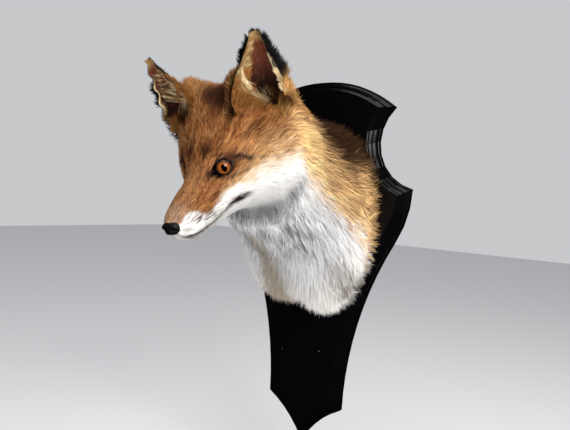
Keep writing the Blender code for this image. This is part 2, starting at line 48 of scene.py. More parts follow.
# the body's form in millimetres, as in the part: rows of fwd/up (head) or out/height (neck)
form = {
    "eyeMid": (0.0, -215.0, 105.0),
    "pitch": math.radians(29.5),
    "tilt": math.radians(6.5),
    "yaw": math.radians(6.5),
    "pivot": 155.0,
    "turnFull": 9.0,
    "turnNone": 15.5,
    "head": (
        (71.5, -20.0, 68.5, -37.0, 7.5, 0.55, 2.3, 2.2),
        (66.0, -14.5, 62.5, -43.0, 12.0, 0.60, 2.3, 2.1),
        (56.0, -9.5, 54.0, -47.5, 14.8, 0.62, 2.3, 2.0),
        (42.0, -4.5, 38.0, -49.5, 17.5, 0.62, 2.3, 2.0),
        (27.0, 0.5, 20.0, -50.5, 21.5, 0.62, 2.2, 2.0),
        (14.0, 9.0, 4.0, -52.0, 29.0, 0.60, 2.1, 2.0),
        (1.0, 21.0, -11.0, -54.0, 38.5, 0.58, 2.1, 2.1),
        (-13.0, 33.0, -22.0, -57.5, 48.0, 0.56, 2.2, 2.2),
        (-30.0, 44.0, -30.0, -61.5, 58.0, 0.57, 2.2, 2.2),
        (-48.0, 51.0, -37.0, -66.0, 66.0, 0.57, 2.2, 2.2),
        (-67.0, 52.0, -44.0, -71.0, 71.0, 0.54, 2.3, 2.2),
    ),
    "neck": (
        (163.0, 188.0, 133.0, 49.0, 73.0, 0.51, 2.5, 2.2),
        (138.0, 184.0, 121.0, 40.0, 75.0, 0.48, 2.7, 2.2),
        (112.0, 178.0, 103.0, 27.0, 76.0, 0.48, 2.7, 2.2),
        (86.0, 172.0, 81.0, 12.0, 78.0, 0.48, 2.6, 2.3),
        (60.0, 170.0, 62.0, -10.0, 82.0, 0.49, 2.5, 2.4),
        (40.0, 173.0, 44.0, -38.0, 88.0, 0.50, 2.5, 2.5),
        (28.0, 173.0, 31.0, -50.0, 89.0, 0.51, 2.5, 2.6),
        (18.3, 167.0, 18.3, -45.0, 85.0, 0.51, 2.5, 2.6),
    ),
    "swells": (
        ((8.0, 13.0, 17.0), 9.0, (1.5, 2.5, 1.5)),
        ((5.5, -1.2, 24.3), 8.0, (-4.5, -0.5, -4.0)),
        ((20.0, -6.0, 18.0), 9.0, (0.0, 0.0, -2.5)),
        ((-14.0, -12.0, 40.0), 14.0, (0.0, 0.0, 1.5)),
        ((54.0, -31.0, 15.0), 10.0, (0.0, 0.0, 2.2)),
        ((-48.0, -26.0, 62.0), 24.0, (-2.0, -2.0, 4.0)),
        ((-52.0, 44.0, 38.0), 16.0, (2.0, 6.0, 6.0)),
        ((-80.0, 34.0, 56.0), 18.0, (-3.0, 3.0, 9.0)),
        ((-53.0, 52.0, 29.0), 12.0, (1.0, 20.0, 0.0)),
        ((-47.0, 47.0, 49.0), 9.0, (-1.0, -8.0, -6.0)),
    ),
    "hangs": (((46.0, -44.0), 24.0, 11.0), ((-38.0, -40.0), 18.0, 3.0), ((-2.0, -46.0), 9.0, -6.0)),
    # coat depth over the skin: section, then on top, at the side and below
    "coat": (
        (0.0, 0.7, 0.7, 0.8),
        (2.0, 1.0, 1.1, 1.3),
        (4.0, 1.6, 1.8, 2.4),
        (6.0, 2.4, 3.0, 5.0),
        (8.0, 4.0, 7.0, 9.0),
        (10.0, 6.5, 12.0, 13.0),
        (11.5, 10.0, 15.0, 16.0),
        (14.0, 14.0, 18.0, 18.0),
        (16.5, 15.0, 18.0, 18.0),
        (18.0, 9.0, 10.0, 10.0),
    ),
}


def headAxes():
    c, s = math.cos(form["pitch"]), math.sin(form["pitch"])
    return np.array([[0.0, -c, -s], [0.0, -s, c], [1.0, 0.0, 0.0]])


def fromHead(places):
    return np.array(form["eyeMid"]) + np.asarray(places, float) @ headAxes()


def toHead(points):
    return (points - np.array(form["eyeMid"])) @ headAxes().T


def tilted(arm, cosine, sine):
    # about the head's own forward axis
    axis = headAxes()[0]
    along = (arm @ axis)[..., None] * axis
    return arm * cosine + np.cross(axis, arm) * sine + along * (1 - cosine)


def yawed(points, cosine, sine):
    # about an upright line through the nape
    x, y = points[..., 0], points[..., 1] + form["pivot"]
    out = points.copy()
    out[..., 0] = x * cosine - y * sine
    out[..., 1] = x * sine + y * cosine - form["pivot"]
    return out


def turned(points, share):
    # the whole turn of the head, or a share of it down the neck
    share = np.broadcast_to(np.asarray(share, float), points.shape[:-1])[..., None]
    angle, middle = form["tilt"] * share, np.array(form["eyeMid"])
    points = tilted(points - middle, np.cos(angle), np.sin(angle)) + middle
    angle = (form["yaw"] * share)[..., 0]
    return yawed(points, np.cos(angle), np.sin(angle))


def onHead(places):
    return turned(fromHead(places), 1.0)


def headPlace(points):
    # forward, up and side places on the turned head
    points = yawed(points, math.cos(form["yaw"]), -math.sin(form["yaw"]))
    arm = tilted(points - np.array(form["eyeMid"]), math.cos(form["tilt"]), -math.sin(form["tilt"]))
    return arm @ headAxes().T


def turnShare(s):
    t = np.clip((form["turnNone"] - s) / (form["turnNone"] - form["turnFull"]), 0.0, 1.0)
    return t * t * (3 - 2 * t)


def sectionTable():
    rows = []
    for fwdTop, upTop, fwdLow, upLow, *sizes in form["head"]:
        top, low = fromHead([(fwdTop, upTop, 0.0), (fwdLow, upLow, 0.0)])
        rows.append([-top[1], top[2], -low[1], low[2], *sizes])
    return np.array(rows + [list(row) for row in form["neck"]])


sections = sectionTable()
lastSection = len(sections) - 1.0


def between(table, s):
    s = np.clip(s, 0.0, len(table) - 1.0)
    i = np.minimum(s.astype(int), len(table) - 2)
    t = (s - i)[..., None]
    a, b, c, d = (table[np.clip(i + k, 0, len(table) - 1)] for k in (-1, 0, 1, 2))
    return 0.5 * (2 * b + (c - a) * t + (2 * a - 5 * b + 4 * c - d) * t**2 + (3 * b - a - 3 * c + d) * t**3)


def mirror(hand):
    # takes a place on the left of the head to this side
    return np.array([1.0, 1.0, hand])


def straightBody(s, angle):
    # the coat's outer surface before the head is turned; angle 0 is the top line
    outTop, zTop, outLow, zLow, half, wide, squareUp, squareLow = np.moveaxis(between(sections, s), -1, 0)
    top = np.stack([0 * s, -outTop, zTop], -1)
    low = np.stack([0 * s, -outLow, zLow], -1)
    middle = top + (low - top) * wide[..., None]
    upper = np.cos(angle) >= 0
    power = 2 / np.where(upper, squareUp, squareLow)
    rise = np.abs(np.cos(angle)) ** power
    reach = np.sign(np.sin(angle)) * np.abs(np.sin(angle)) ** power
    points = middle + (np.where(upper[..., None], top, low) - middle) * rise[..., None]
    points[..., 0] += half * reach
    place = toHead(points)
    for centre, size, push in form["swells"]:
        for hand in (1, -1):
            away = place - np.array(centre) * mirror(hand)
            weight = np.exp(-np.sum(away**2, -1) / (2 * size**2))
            points = points + weight[..., None] * ((np.array(push) * mirror(hand)) @ headAxes())
    for (x, z), size, drop in form["hangs"]:
        away = (points[..., 0] - x) ** 2 + (points[..., 2] - z) ** 2
        points[..., 2] = points[..., 2] - drop * np.exp(-away / (2 * size**2))
    return points


def bodyPoint(s, angle):
    return turned(straightBody(s, angle), turnShare(s))


def unit(vectors):
    return vectors / (np.linalg.norm(vectors, axis=-1, keepdims=True) + 1e-12)


def bodyFrame(s, angle):
    # the point, its outward normal and how it moves with section and angle
    step = 2e-3
    low, high = np.clip(s - step, 0, lastSection), np.clip(s + step, 0, lastSection)
    alongS = (bodyPoint(high, angle) - bodyPoint(low, angle)) / (high - low)[..., None]
    alongA = (bodyPoint(s, angle + step) - bodyPoint(s, angle - step)) / (2 * step)
    return bodyPoint(s, angle), unit(np.cross(alongA, alongS)), alongS, alongA


def coatDepth(s, angle):
    rows = np.array(form["coat"])
    top, side, under = (np.interp(s, rows[:, 0], rows[:, k]) for k in (1, 2, 3))
    c = np.cos(angle)
    return side + np.where(c > 0, top - side, under - side) * np.abs(c) ** 1.5


def smooth(low, high, value):
    t = np.clip((value - low) / (high - low), 0.0, 1.0)
    return t * t * (3 - 2 * t)


def grain(points, size, seed):
    # smooth noise from -1 to 1, with hills about this size in millimetres
    lattice = np.random.default_rng(seed).uniform(-1, 1, (32, 32, 32))
    scaled = points / size
    base = np.floor(scaled).astype(int)
    t = scaled - base
    t = t * t * (3 - 2 * t)
    total = 0.0
    for dx in (0, 1):
        for dy in (0, 1):
            for dz in (0, 1):
                share = (t[..., 0] if dx else 1 - t[..., 0]) * (t[..., 1] if dy else 1 - t[..., 1])
                share = share * (t[..., 2] if dz else 1 - t[..., 2])
                total = total + share * lattice[(base[..., 0] + dx) % 32, (base[..., 1] + dy) % 32,
                                                (base[..., 2] + dz) % 32]
    return total


def lineDistance(place, line):
    # distance on the head from a line of (forward, up, side) places, the same on both sides
    place = np.stack([place[..., 0], place[..., 1], np.abs(place[..., 2])], -1)
    nearest = np.full(place.shape[:-1], 1e9)
    for start, end in zip(line[:-1], line[1:]):
        start, span = np.array(start), np.array(end) - np.array(start)
        t = np.clip(((place - start) @ span) / (span @ span), 0, 1)
        nearest = np.minimum(nearest, np.linalg.norm(place - start - t[..., None] * span, axis=-1))
    return nearest


# lines on the head: forward, up, side
lines = {
    "mouth": (
        (76.0, -36.5, 0.0), (73.0, -37.5, 5.0), (65.2, -38.5, 9.5), (53.0, -40.5, 14.5),
        (41.0, -41.5, 15.0), (31.0, -40.5, 17.0), (18.5, -36.7, 21.8), (12.3, -34.4, 25.3),
        (5.3, -33.7, 29.2), (-1.4, -34.2, 32.6),
    ),
    "overEye": ((8.0, 6.5, 20.0), (3.0, 6.5, 24.5), (-2.5, 4.0, 31.0), (-5.5, 1.0, 36.0), (-9.0, -3.0, 42.0)),
    "underEye": ((12.0, -10.5, 20.0), (5.0, -12.0, 27.5), (-4.0, -11.5, 37.5)),
    "whiskersOne": ((58.0, -25.0, 15.0), (46.0, -28.5, 18.5), (36.0, -31.0, 19.5)),
    "leftCup": ((-51.0, 48.0, 48.0), (-54.0, 40.5, 54.0), (-55.5, 39.0, 55.5)),
    "rightCup": ((-38.0, 49.0, 33.0), (-46.0, 49.0, 41.0), (-54.0, 44.0, 50.0)),
    "whiskersTwo": ((57.0, -28.5, 16.0), (45.0, -32.5, 18.0), (33.0, -35.0, 19.0)),
}

eyes = {
    "front": (5.5, -1.2, 24.3),
    "axis": (0.75, 0.08, 0.655),
    "radius": 8.6,
    "slant": (-15.2, 4.4, 16.9),   # from the inner corner to the outer one
    "inward": 2.6,                 # how far the lids' middle lies from the iris, to the inner corner
    # the lids' opening, half its length, then above and below the middle; the right one is narrower
    "open": {"left": (10.8, 6.5, 6.5), "right": (9.8, 4.2, 5.0)},
    "rim": (12.6, 7.5, 7.5),
    "sunk": {"left": 0.0, "right": 0.8},    # how far the ball sits back from its socket's own centre
    "cornea": 0.035,               # how far it stands proud, as a share of the radius
    "segments": (48, 36),
}

lids = {
    "around": 64,
    "across": 8,
    "ring": 4.0,        # radius of the ring before its rows are laid
    "overlap": 0.6,     # onto the skin outside, and above the glass inside
    "crown": 0.25,
    "thick": 1.4,
}


def eyeFrame(hand):
    flip = mirror(hand)
    axis = unit(np.array(eyes["axis"]) * flip)
    centre = np.array(eyes["front"]) * flip - eyes["radius"] * axis
    across = np.array(eyes["slant"]) * flip
    across = unit(across - axis * (across @ axis))
    up = np.cross(axis, across) * hand
    return centre, across, up * np.sign(up[1]), axis


def almond(x, y, sizes):
    # below 1 inside the pointed oval of the lids
    half = np.where(y > 0, sizes[1], sizes[2])
    return np.abs((x + eyes["inward"]) / sizes[0]) ** 1.9 + np.abs(y / half) ** 1.25


def eyePlace(place, hand):
    centre, across, up, axis = eyeFrame(hand)
    away = place - centre
    return away @ across, away @ up, away @ axis


# colours as seen, from 0 to 255
shades = {
    "rufous": (128, 69, 30), "fleck": (216, 160, 98), "crown": (46, 20, 10), "bridge": (144, 95, 65),
    "muzzle": (156, 127, 106), "muzzleSide": (132, 82, 48), "tear": (126, 63, 31), "eyeDark": (46, 24, 14),
    "cheekRed": (200, 140, 92), "temple": (114, 72, 34), "gold": (250, 202, 140), "earGold": (216, 164, 98),
    "tan": (226, 180, 124), "nape": (58, 35, 17), "white": (240, 238, 234), "creamEdge": (240, 202, 150),
    "throat": (236, 236, 237), "streak": (66, 66, 70), "cream": (242, 237, 230), "patch": (98, 87, 78),
    "greyPatch": (176, 170, 166), "fringe": (158, 140, 112), "lip": (46, 32, 30), "pinkLip": (170, 140, 132),
    # earHollow is painted shade: the dark deep in the ears' cups
    "earBlack": (20, 17, 17), "earInner": (92, 44, 28), "earHollow": (24, 11, 7), "earCream": (226, 204, 160),
    "earTip": (136, 106, 64), "earRoot": (152, 100, 48),
}


def shade(name):
    value = np.array(shades[name]) / 255.0
    return np.where(value > 0.04045, ((value + 0.055) / 1.055) ** 2.4, value / 12.92)


def evenShade(name, *size):
    return np.zeros((*size, 3)) + shade(name)


def blend(colour, name, mask):
    return colour + (shade(name) - colour) * np.clip(mask, 0, 1)[..., None]


# the borders and patches of the coat's colours; places on the head are forward, up, side
marks = {
    # where the white of the lip, cheek and throat begins: section, degrees from the top line
    "whiteEdge": (
        (0.0, 62.0), (0.6, 59.0), (1.7, 50.0), (2.4, 68.0), (2.9, 82.0), (3.4, 86.0), (3.7, 80.0),
        (4.5, 78.0), (5.5, 84.0), (6.6, 88.0), (7.3, 88.0), (8.0, 86.0), (8.7, 90.0), (9.1, 95.0),
        (9.6, 101.0), (10.5, 107.0), (12.1, 108.0), (13.0, 106.0), (14.4, 105.0), (15.3, 101.0),
        (18.0, 108.0),
    ),
    # section, then half the degrees over which that edge fades
    "fade": ((0.0, 5.0), (4.0, 4.0), (5.0, 7.0), (6.0, 12.0), (9.0, 13.0), (12.0, 9.0), (18.0, 9.0)),
    # patches on both sides of the face: shade, centre, reach, strength
    "face": (
        ("cheekRed", (-15, 5, 42), (13, 9, 14), 0.9),
        ("cheekRed", (0, -14, 32), (16, 5, 14), 0.6),
        ("temple", (-28, 12, 52), (12, 12, 12), 0.9),
        ("tear", (27, -17, 17), (12, 8, 8), 0.8),
        ("tear", (34, -18, 17), (9, 7, 8), 0.9),
        ("tear", (29, -11, 14), (7, 6, 6), 0.7),
        ("eyeDark", (18, -3, 13), (6, 5, 5), 0.85),
        ("eyeDark", (4, 18, 4), (14, 9, 7), 0.3),
        ("eyeDark", (-6, 24, 13), (12, 9, 6), 0.35),
        ("eyeDark", (4, 9, 22), (7, 4, 9), 0.45),
        ("eyeDark", (8, 15, 10), (9, 7, 6), 0.75),
    ),
    # patches of the crown, with how strong each is on the left and on the right
    "crown": (
        ("crown", (-34, 47, 13), (12, 14, 15), 1.0, 0.0),
        ("crown", (-31, 41, 32), (9, 9, 9), 0.75, 0.0),
        ("crown", (-41, 52, 0), (12, 11, 14), 0.85, 0.85),
        ("crown", (-45, 55, 12), (11, 9, 8), 0.0, 0.55),
        ("earGold", (-42, 58, 24), (14, 12, 10), 0.0, 0.35),
    ),
    # the right side of the brow is darker, down to the eye, partly its dark lids and partly painted shade:
    # centres as on the left side
    "rightBrowLidsAndShade": ((8, 3, 24), (0, 10, 29), (14, -4, 18)),
}


def spot(place, centre, reach):
    # 1 at a place on the head and its mirror image, fading over the reach
    away = np.stack([place[..., 0], place[..., 1], np.abs(place[..., 2])], -1) - np.array(centre)
    return np.exp(-np.sum((away / np.array(reach)) ** 2, -1))


def cupDistance(place):
    # from the line along the bottom of each ear's cup
    left, right = lineDistance(place, lines["leftCup"]), lineDistance(place, lines["rightCup"])
    return np.where(place[..., 2] > 0, left, right)


def surroundings(s, angle):
    # what the markings depend on: where a root lies, the noise there and how far the white's edge is
    flat = straightBody(s, angle)
    drawn = np.stack([s * 4.0, np.degrees(angle), 0 * s], -1)    # drawn out along the lie of the coat
    degrees = np.degrees(np.abs((angle + math.pi) % (2 * math.pi) - math.pi))
    edge = np.interp(s, *np.array(marks["whiteEdge"]).T)
    broad, fine = grain(flat, 14.0, 3), grain(flat, 4.0, 4)
    streak, hatch = grain(drawn, 2.6, 5), grain(drawn + 40.5, 1.5, 6)
    return {
        "s": s, "degrees": degrees, "flat": flat, "place": toHead(flat), "broad": broad, "streak": streak,
        "hatch": hatch, "edge": edge, "fade": np.interp(s, *np.array(marks["fade"]).T),
        "over": degrees - edge + 4 * fine + 4 * broad + 4 * hatch,
    }


def headColour(here):
    s, degrees, place = here["s"], here["degrees"], here["place"]
    colour = evenShade("rufous", *s.shape)
    colour = blend(colour, "bridge", smooth(5.4, 3.6, s) * smooth(62, 30, degrees) * 0.9)
    colour = blend(colour, "muzzleSide", smooth(5.2, 4.0, s) * smooth(30, 60, degrees) * 0.9)
    colour = blend(colour, "muzzle", smooth(2.6, 1.3, s) * 0.9)
    for name, centre, reach, strength in marks["face"]:
        colour = blend(colour, name, spot(place, centre, reach) * strength)
    leftward = smooth(-12, 4, place[..., 2])
    for name, centre, reach, left, right in marks["crown"]:
        share = left * leftward + right * (1 - leftward)
        colour = blend(colour, name, spot(place, centre, reach) * share)
    # pale and dark ticking, drawn out along the hairs
    light = smooth(0.05, 0.8, here["streak"] + 0.6 * here["hatch"]) * smooth(0.03, 0.22, colour[..., 0])
    dark = smooth(0.10, 0.9, -here["streak"] + 0.7 * here["hatch"])
    colour = blend(colour, "fleck", light * 0.44 * smooth(9.5, 7.5, s))
    colour = blend(colour, "eyeDark", dark * 0.55 * smooth(9.5, 7.5, s))
    return blend(colour, "earRoot", spot(place, (-52, 30, 62), (14, 14, 14)) * 0.8)


def neckColour(colour, here):
    s, degrees = here["s"], here["degrees"]
    colour = blend(colour, "gold", smooth(8.6, 10.0, s) * smooth(52, 72, degrees))
    colour = blend(colour, "earGold", smooth(9.6, 10.4, s) * smooth(64, 48, degrees))
    colour = blend(colour, "tan", smooth(11.2, 12.6, s) * 0.95)
    # painted shadow: the neck darkens on top where the flare begins, under the coat of the head that overlaps
    # it
    colour = blend(colour, "nape", smooth(11.6, 13.1, s) * smooth(84, 56, degrees + 8 * here["broad"]))
    dark = smooth(0.2, 0.9, -here["streak"] + 0.5 * here["hatch"])
    colour = blend(colour, "nape", dark * 0.30 * smooth(10.5, 12.0, s))
    behindEars = smooth(12.0, 10.8, s) * smooth(9.8, 10.8, s) * smooth(56, 40, degrees)
    colour = blend(colour, "crown", behindEars * 0.5)
    nearWhite = smooth(-2.4 * here["fade"], 0.2 * here["fade"], here["over"])
    return blend(colour, "creamEdge", nearWhite * 0.75 * smooth(3.8, 5.0, s))


def whiteColour(here):
    # the white of the lip, cheek, throat and chest, with its grey streaks and brown patch
    s, degrees, edge, flat = here["s"], here["degrees"], here["edge"], here["flat"]
    streak, hatch = here["streak"], here["hatch"]
    pale = evenShade("white", *s.shape)
    below = smooth(8.3, 10.0, s) * smooth(edge + 12, edge + 38, degrees) + smooth(11.0, 12.5, s)
    pale = blend(pale, "throat", np.clip(below, 0, 1) * 0.9)
    grey = smooth(7.8, 9.4, s) * smooth(edge + 10, edge + 30, degrees) * (1 - 0.85 * smooth(11.8, 14.2, s))
    pale = blend(pale, "streak", spot(here["place"], (-38, -66, 15), (14, 13, 24)) * 0.40)
    pale = blend(pale, "greyPatch", smooth(-0.4, 0.6, hatch + 0.5 * streak) * smooth(5.0, 3.5, s) * 0.9)
    pale = blend(pale, "streak", smooth(0.0, 0.9, streak + 0.7 * hatch) * grey * 0.64)
    pale = blend(pale, "cream", smooth(14.2, 15.6, s) * smooth(100, 120, degrees))
    brown = np.exp(-((flat[..., 0] - 69) ** 2 / 190 + (flat[..., 2] + 7) ** 2 / 420))
    pale = blend(pale, "patch", brown * (0.55 + 0.45 * smooth(-0.5, 0.6, streak + hatch)))
    above = np.exp(-((flat[..., 0] - 60) ** 2 / 130 + (flat[..., 2] - 14) ** 2 / 160))
    return blend(pale, "greyPatch", above * 0.8)


def faceLines(colour, here):
    # the lips, brow lines, whisker lines, lids, the right brow's painted shade and the painted shade of the
    # hollows in front of the ears
    s, degrees, place = here["s"], here["degrees"], here["place"]
    mirrored = place * np.array([1.0, 1.0, -1.0])
    # painted shade with the dark lids, on the right side of the brow
    for centre in marks["rightBrowLidsAndShade"]:
        away = (mirrored - np.array(centre)) / np.array((10, 8, 8))
        colour = blend(colour, "lip", np.exp(-np.sum(away**2, -1)) * 0.85)
    chin = smooth(165, 178, degrees) * smooth(4.2, 3.0, s) * smooth(0.2, 1.0, s)
    colour = blend(colour, "pinkLip", chin * 0.5)
    lowerLip = smooth(122, 134, degrees) * smooth(160, 148, degrees) * smooth(3.6, 2.4, s)
    colour = blend(colour, "pinkLip", lowerLip * 0.45)
    broken = smooth(-0.5, 0.2, here["hatch"])
    mouthWidth = 2.1 + 0.5 * smooth(3.5, 2.0, s)
    for name, wide, strength in (
        ("mouth", mouthWidth, 1.1), ("overEye", 2.3, 1.3), ("underEye", 1.6, 0.85),
        ("whiskersOne", 1.5, 1.2 * broken), ("whiskersTwo", 1.2, 1.1 * broken),
    ):
        colour = blend(colour, "lip", np.exp(-((lineDistance(place, lines[name]) / wide) ** 2)) * strength)
    colour = blend(colour, "muzzleSide", spot(place, (47, -25.5, 18), (13, 2.4, 8)) * 0.35)
    colour = blend(colour, "lip", spot(place, (15.0, -3.5, 15.5), (3.0, 2.5, 3.0)) * 0.8)
    mouthCorner = spot(place, (7, -34, 28.5), (10, 3.6, 10)) * (np.abs(place[..., 2]) > 12)
    colour = blend(colour, "lip", mouthCorner * 1.4)
    for hand in (1, -1):
        x, y, z = eyePlace(place, hand)
        colour = blend(colour, "earBlack", smooth(1.15, 0.95, almond(x, y, eyes["rim"])) * (z > -4))
    # painted shade: the head darkens around the bottom of each ear's cup
    return blend(colour, "earHollow", smooth(9.0, 6.5, cupDistance(place)) * 0.95)


def markings(s, angle):
    # the coat's colour at each place; the skin and every lock take it from here
    here = surroundings(s, angle)
    colour = neckColour(headColour(here), here)
    pale = whiteColour(here)
    colour = colour + (pale - colour) * smooth(-here["fade"], here["fade"], here["over"])[..., None]
    # the fringe under the chest on the right is tan, and darker partly as painted shade on the side away from
    # the key light
    rightUnderFringeShade = smooth(4, -22, here["flat"][..., 0]) * smooth(145, 165, here["degrees"])
    colour = blend(colour, "fringe", smooth(11, 13, s) * rightUnderFringeShade * 0.8)
    return faceLines(colour, here)


def coatColour(mesh, values, name="coat"):
    layer = mesh.color_attributes.new(name, "FLOAT_COLOR", "POINT")
    full = np.ones((len(values), 4), np.float32)
    full[:, :3] = values
    layer.data.foreach_set("color", full.ravel())


def finishedObject(name, mesh, material):
    mesh.materials.append(material)
    made = bpy.data.objects.new(name, mesh)
    bpy.context.scene.collection.objects.link(made)
    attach(made, "root")
    return made


def solidMesh(work, name):
    # the corners have moved since the faces were made, so their directions are worked out afresh
    work.normal_update()
    bmesh.ops.recalc_face_normals(work, faces=work.faces[:])
    mesh = bpy.data.meshes.new(name)
    work.to_mesh(mesh)
    work.free()
    mesh.shade_smooth()
    return mesh


def newGroup(name, inputs, outputs):
    group = bpy.data.node_groups.new(name, "ShaderNodeTree")
    for label, kind, value in inputs:
        socket = group.interface.new_socket(label, in_out="INPUT", socket_type=kind)
        if value is not None:
            socket.default_value = value
    for label, kind in outputs:
        group.interface.new_socket(label, in_out="OUTPUT", socket_type=kind)
    return group, group.nodes.new("NodeGroupInput"), group.nodes.new("NodeGroupOutput")


def unevenGroup():
    # a soft uneven height for bumps, shared by skin, lacquer and leather
    inputs = (("Scale", "NodeSocketFloat", 100.0), ("Amount", "NodeSocketFloat", 0.1))
    group, start, end = newGroup("uneven", inputs, (("Value", "NodeSocketFloat"),))
    spots = group.nodes.new("ShaderNodeTexNoise")
    place = group.nodes.new("ShaderNodeTexCoord")
    stretch = group.nodes.new("ShaderNodeMath")
    stretch.operation = "MULTIPLY"
    centred = group.nodes.new("ShaderNodeMath")
    centred.operation = "SUBTRACT"
    centred.inputs[1].default_value = 0.5
    group.links.new(place.outputs["Object"], spots.inputs["Vector"])
    group.links.new(start.outputs["Scale"], spots.inputs["Scale"])
    spots.inputs["Detail"].default_value = 4.0
    group.links.new(spots.outputs["Fac"], centred.inputs[0])
    group.links.new(centred.outputs[0], stretch.inputs[0])
    group.links.new(start.outputs["Amount"], stretch.inputs[1])
    group.links.new(stretch.outputs[0], end.inputs["Value"])
    return group


uneven = unevenGroup()


def plainMaterial(name, colour, roughness, **sockets):
    made = bpy.data.materials.new(name)
    made.use_nodes = True
    shader = made.node_tree.nodes["Principled BSDF"]
    shader.inputs["Base Color"].default_value = (*colour, 1.0)
    shader.inputs["Roughness"].default_value = roughness
    for label, value in sockets.items():
        shader.inputs[label.replace("_", " ")].default_value = value
    return made, shader


def addBump(made, shader, scale, amount, distance):
    nodes, links = made.node_tree.nodes, made.node_tree.links
    rough = nodes.new("ShaderNodeGroup")
    rough.node_tree = uneven
    rough.inputs["Scale"].default_value = scale
    rough.inputs["Amount"].default_value = amount
    bump = nodes.new("ShaderNodeBump")
    bump.inputs["Distance"].default_value = distance
    links.new(rough.outputs["Value"], bump.inputs["Height"])
    links.new(bump.outputs["Normal"], shader.inputs["Normal"])


def coatMaterial(name, roughness, **sockets):
    # takes its colour from the coat's own markings
    made, shader = plainMaterial(name, (0.5, 0.4, 0.3), roughness, **sockets)
    colour = made.node_tree.nodes.new("ShaderNodeAttribute")
    colour.attribute_name = "coat"
    made.node_tree.links.new(colour.outputs["Color"], shader.inputs["Base Color"])
    return made, shader


furMaterial, _ = coatMaterial("foxFur", 0.7, Specular_IOR_Level=0.1)
skinMaterial, skinShader = coatMaterial("foxSkin", 0.8, Specular_IOR_Level=0.2)
addBump(skinMaterial, skinShader, 900.0, 1.0, 0.0006)
earMaterial, earShader = coatMaterial("earSkin", 0.65, Specular_IOR_Level=0.14)
addBump(earMaterial, earShader, 500.0, 1.0, 0.0005)
lidMaterial, lidShader = plainMaterial("lidSkin", (0.008, 0.006, 0.006), 0.34, Specular_IOR_Level=0.3)
addBump(lidMaterial, lidShader, 700.0, 1.0, 0.0003)
noseMaterial, noseShader = plainMaterial("noseLeather", (0.003, 0.003, 0.0035), 0.38, Specular_IOR_Level=0.25)
addBump(noseMaterial, noseShader, 1100.0, 1.0, 0.0006)
lacquerMaterial, lacquerShader = plainMaterial("blackLacquer", (0.0012, 0.0012, 0.0016), 0.2,
                                               Specular_IOR_Level=0.2)
addBump(lacquerMaterial, lacquerShader, 60.0, 0.4, 0.0002)
pinMaterial, _ = plainMaterial("pinSteel", (0.35, 0.34, 0.32), 0.4, Metallic=1.0)

iris = {
    "stretch": (1.38, 0.85, 1.0),    # the pupil is a slit
    # how far out, then the glass's colour there
    "rings": (
        (0.10, (0.14, 0.04, 0.007, 1)), (0.24, (0.26, 0.078, 0.013, 1)), (0.33, (0.13, 0.038, 0.009, 1)),
        (0.385, (0.02, 0.008, 0.004, 1)), (0.44, (0.006, 0.004, 0.003, 1)),
    ),
    "pupil": ((0.175, (0.002, 0.002, 0.002, 1)), (0.205, (1, 1, 1, 1))),
    "rays": 9.0,
    "rayDepth": 0.35,
}


def colourRamp(nodes, stops):
    ramp = nodes.new("ShaderNodeValToRGB")
    first, last = ramp.color_ramp.elements
    first.position, first.color = stops[0]
    last.position, last.color = stops[-1]
    for position, colour in stops[1:-1]:
        ramp.color_ramp.elements.new(position).color = colour
    return ramp


def multiplied(made, first, second, factor):
    # one colour darkened by another
    mixed = made.node_tree.nodes.new("ShaderNodeMix")
    mixed.data_type = "RGBA"
    mixed.blend_type = "MULTIPLY"
    mixed.inputs["Factor"].default_value = factor
    made.node_tree.links.new(first, mixed.inputs["A"])
    made.node_tree.links.new(second, mixed.inputs["B"])
    return mixed.outputs["Result"]


def eyeMaterial():
    made, shader = plainMaterial("amberGlassEye", (0.3, 0.1, 0.02), 0.03, Specular_IOR_Level=0.4)
    nodes, links = made.node_tree.nodes, made.node_tree.links
    place = nodes.new("ShaderNodeUVMap")
    place.uv_map = "iris"
    centre = nodes.new("ShaderNodeMapping")
    centre.inputs["Location"].default_value = (-0.5, -0.5, 0.0)
    flat = nodes.new("ShaderNodeMapping")
    flat.inputs["Scale"].default_value = iris["stretch"]
    links.new(place.outputs["UV"], centre.inputs["Vector"])
    links.new(centre.outputs["Vector"], flat.inputs["Vector"])
    away, slit = nodes.new("ShaderNodeVectorMath"), nodes.new("ShaderNodeVectorMath")
    away.operation = slit.operation = "LENGTH"
    links.new(centre.outputs["Vector"], away.inputs[0])
    links.new(flat.outputs["Vector"], slit.inputs[0])
    rings, pupil = colourRamp(nodes, iris["rings"]), colourRamp(nodes, iris["pupil"])
    links.new(away.outputs["Value"], rings.inputs["Fac"])
    links.new(slit.outputs["Value"], pupil.inputs["Fac"])
    rays = nodes.new("ShaderNodeTexNoise")
    rays.inputs["Scale"].default_value = iris["rays"]
    rays.inputs["Detail"].default_value = 3.0
    links.new(centre.outputs["Vector"], rays.inputs["Vector"])
    lit = multiplied(made, rings.outputs["Color"], rays.outputs["Color"], iris["rayDepth"])
    links.new(multiplied(made, lit, pupil.outputs["Color"], 1.0), shader.inputs["Base Color"])
    return made


eyeGlass = eyeMaterial()
print("materials made")

skin = {
    "rings": 330,
    "around": 236,
    # where the net is denser: how much, then the middle and its reach in sections or degrees
    "denserRings": (3.2, 5.3, 1.3),
    "denserColumns": ((2.6, 55, 16), (0.9, 118, 20)),
    "muzzleEnd": 2.0,
    "back": -18.4,        # just in front of the board
    # folds: line, depth and width
    "folds": (("mouth", 1.5, 0.9), ("overEye", 0.7, 1.2), ("underEye", 0.6, 1.2)),
    "earHollow": 4.0,
    "behindEye": 2.2,     # how far the skin drops under the glass
}


def spread(values, weights, count):
    # evenly spaced in a measure that is denser where the weights are high
    total = np.concatenate([[0], np.cumsum((weights[1:] + weights[:-1]) / 2 * np.diff(values))])
    return np.interp(np.linspace(0, total[-1], count), total, values)


def hill(value, height, middle, reach):
    return height * np.exp(-((value - middle) / reach) ** 2)


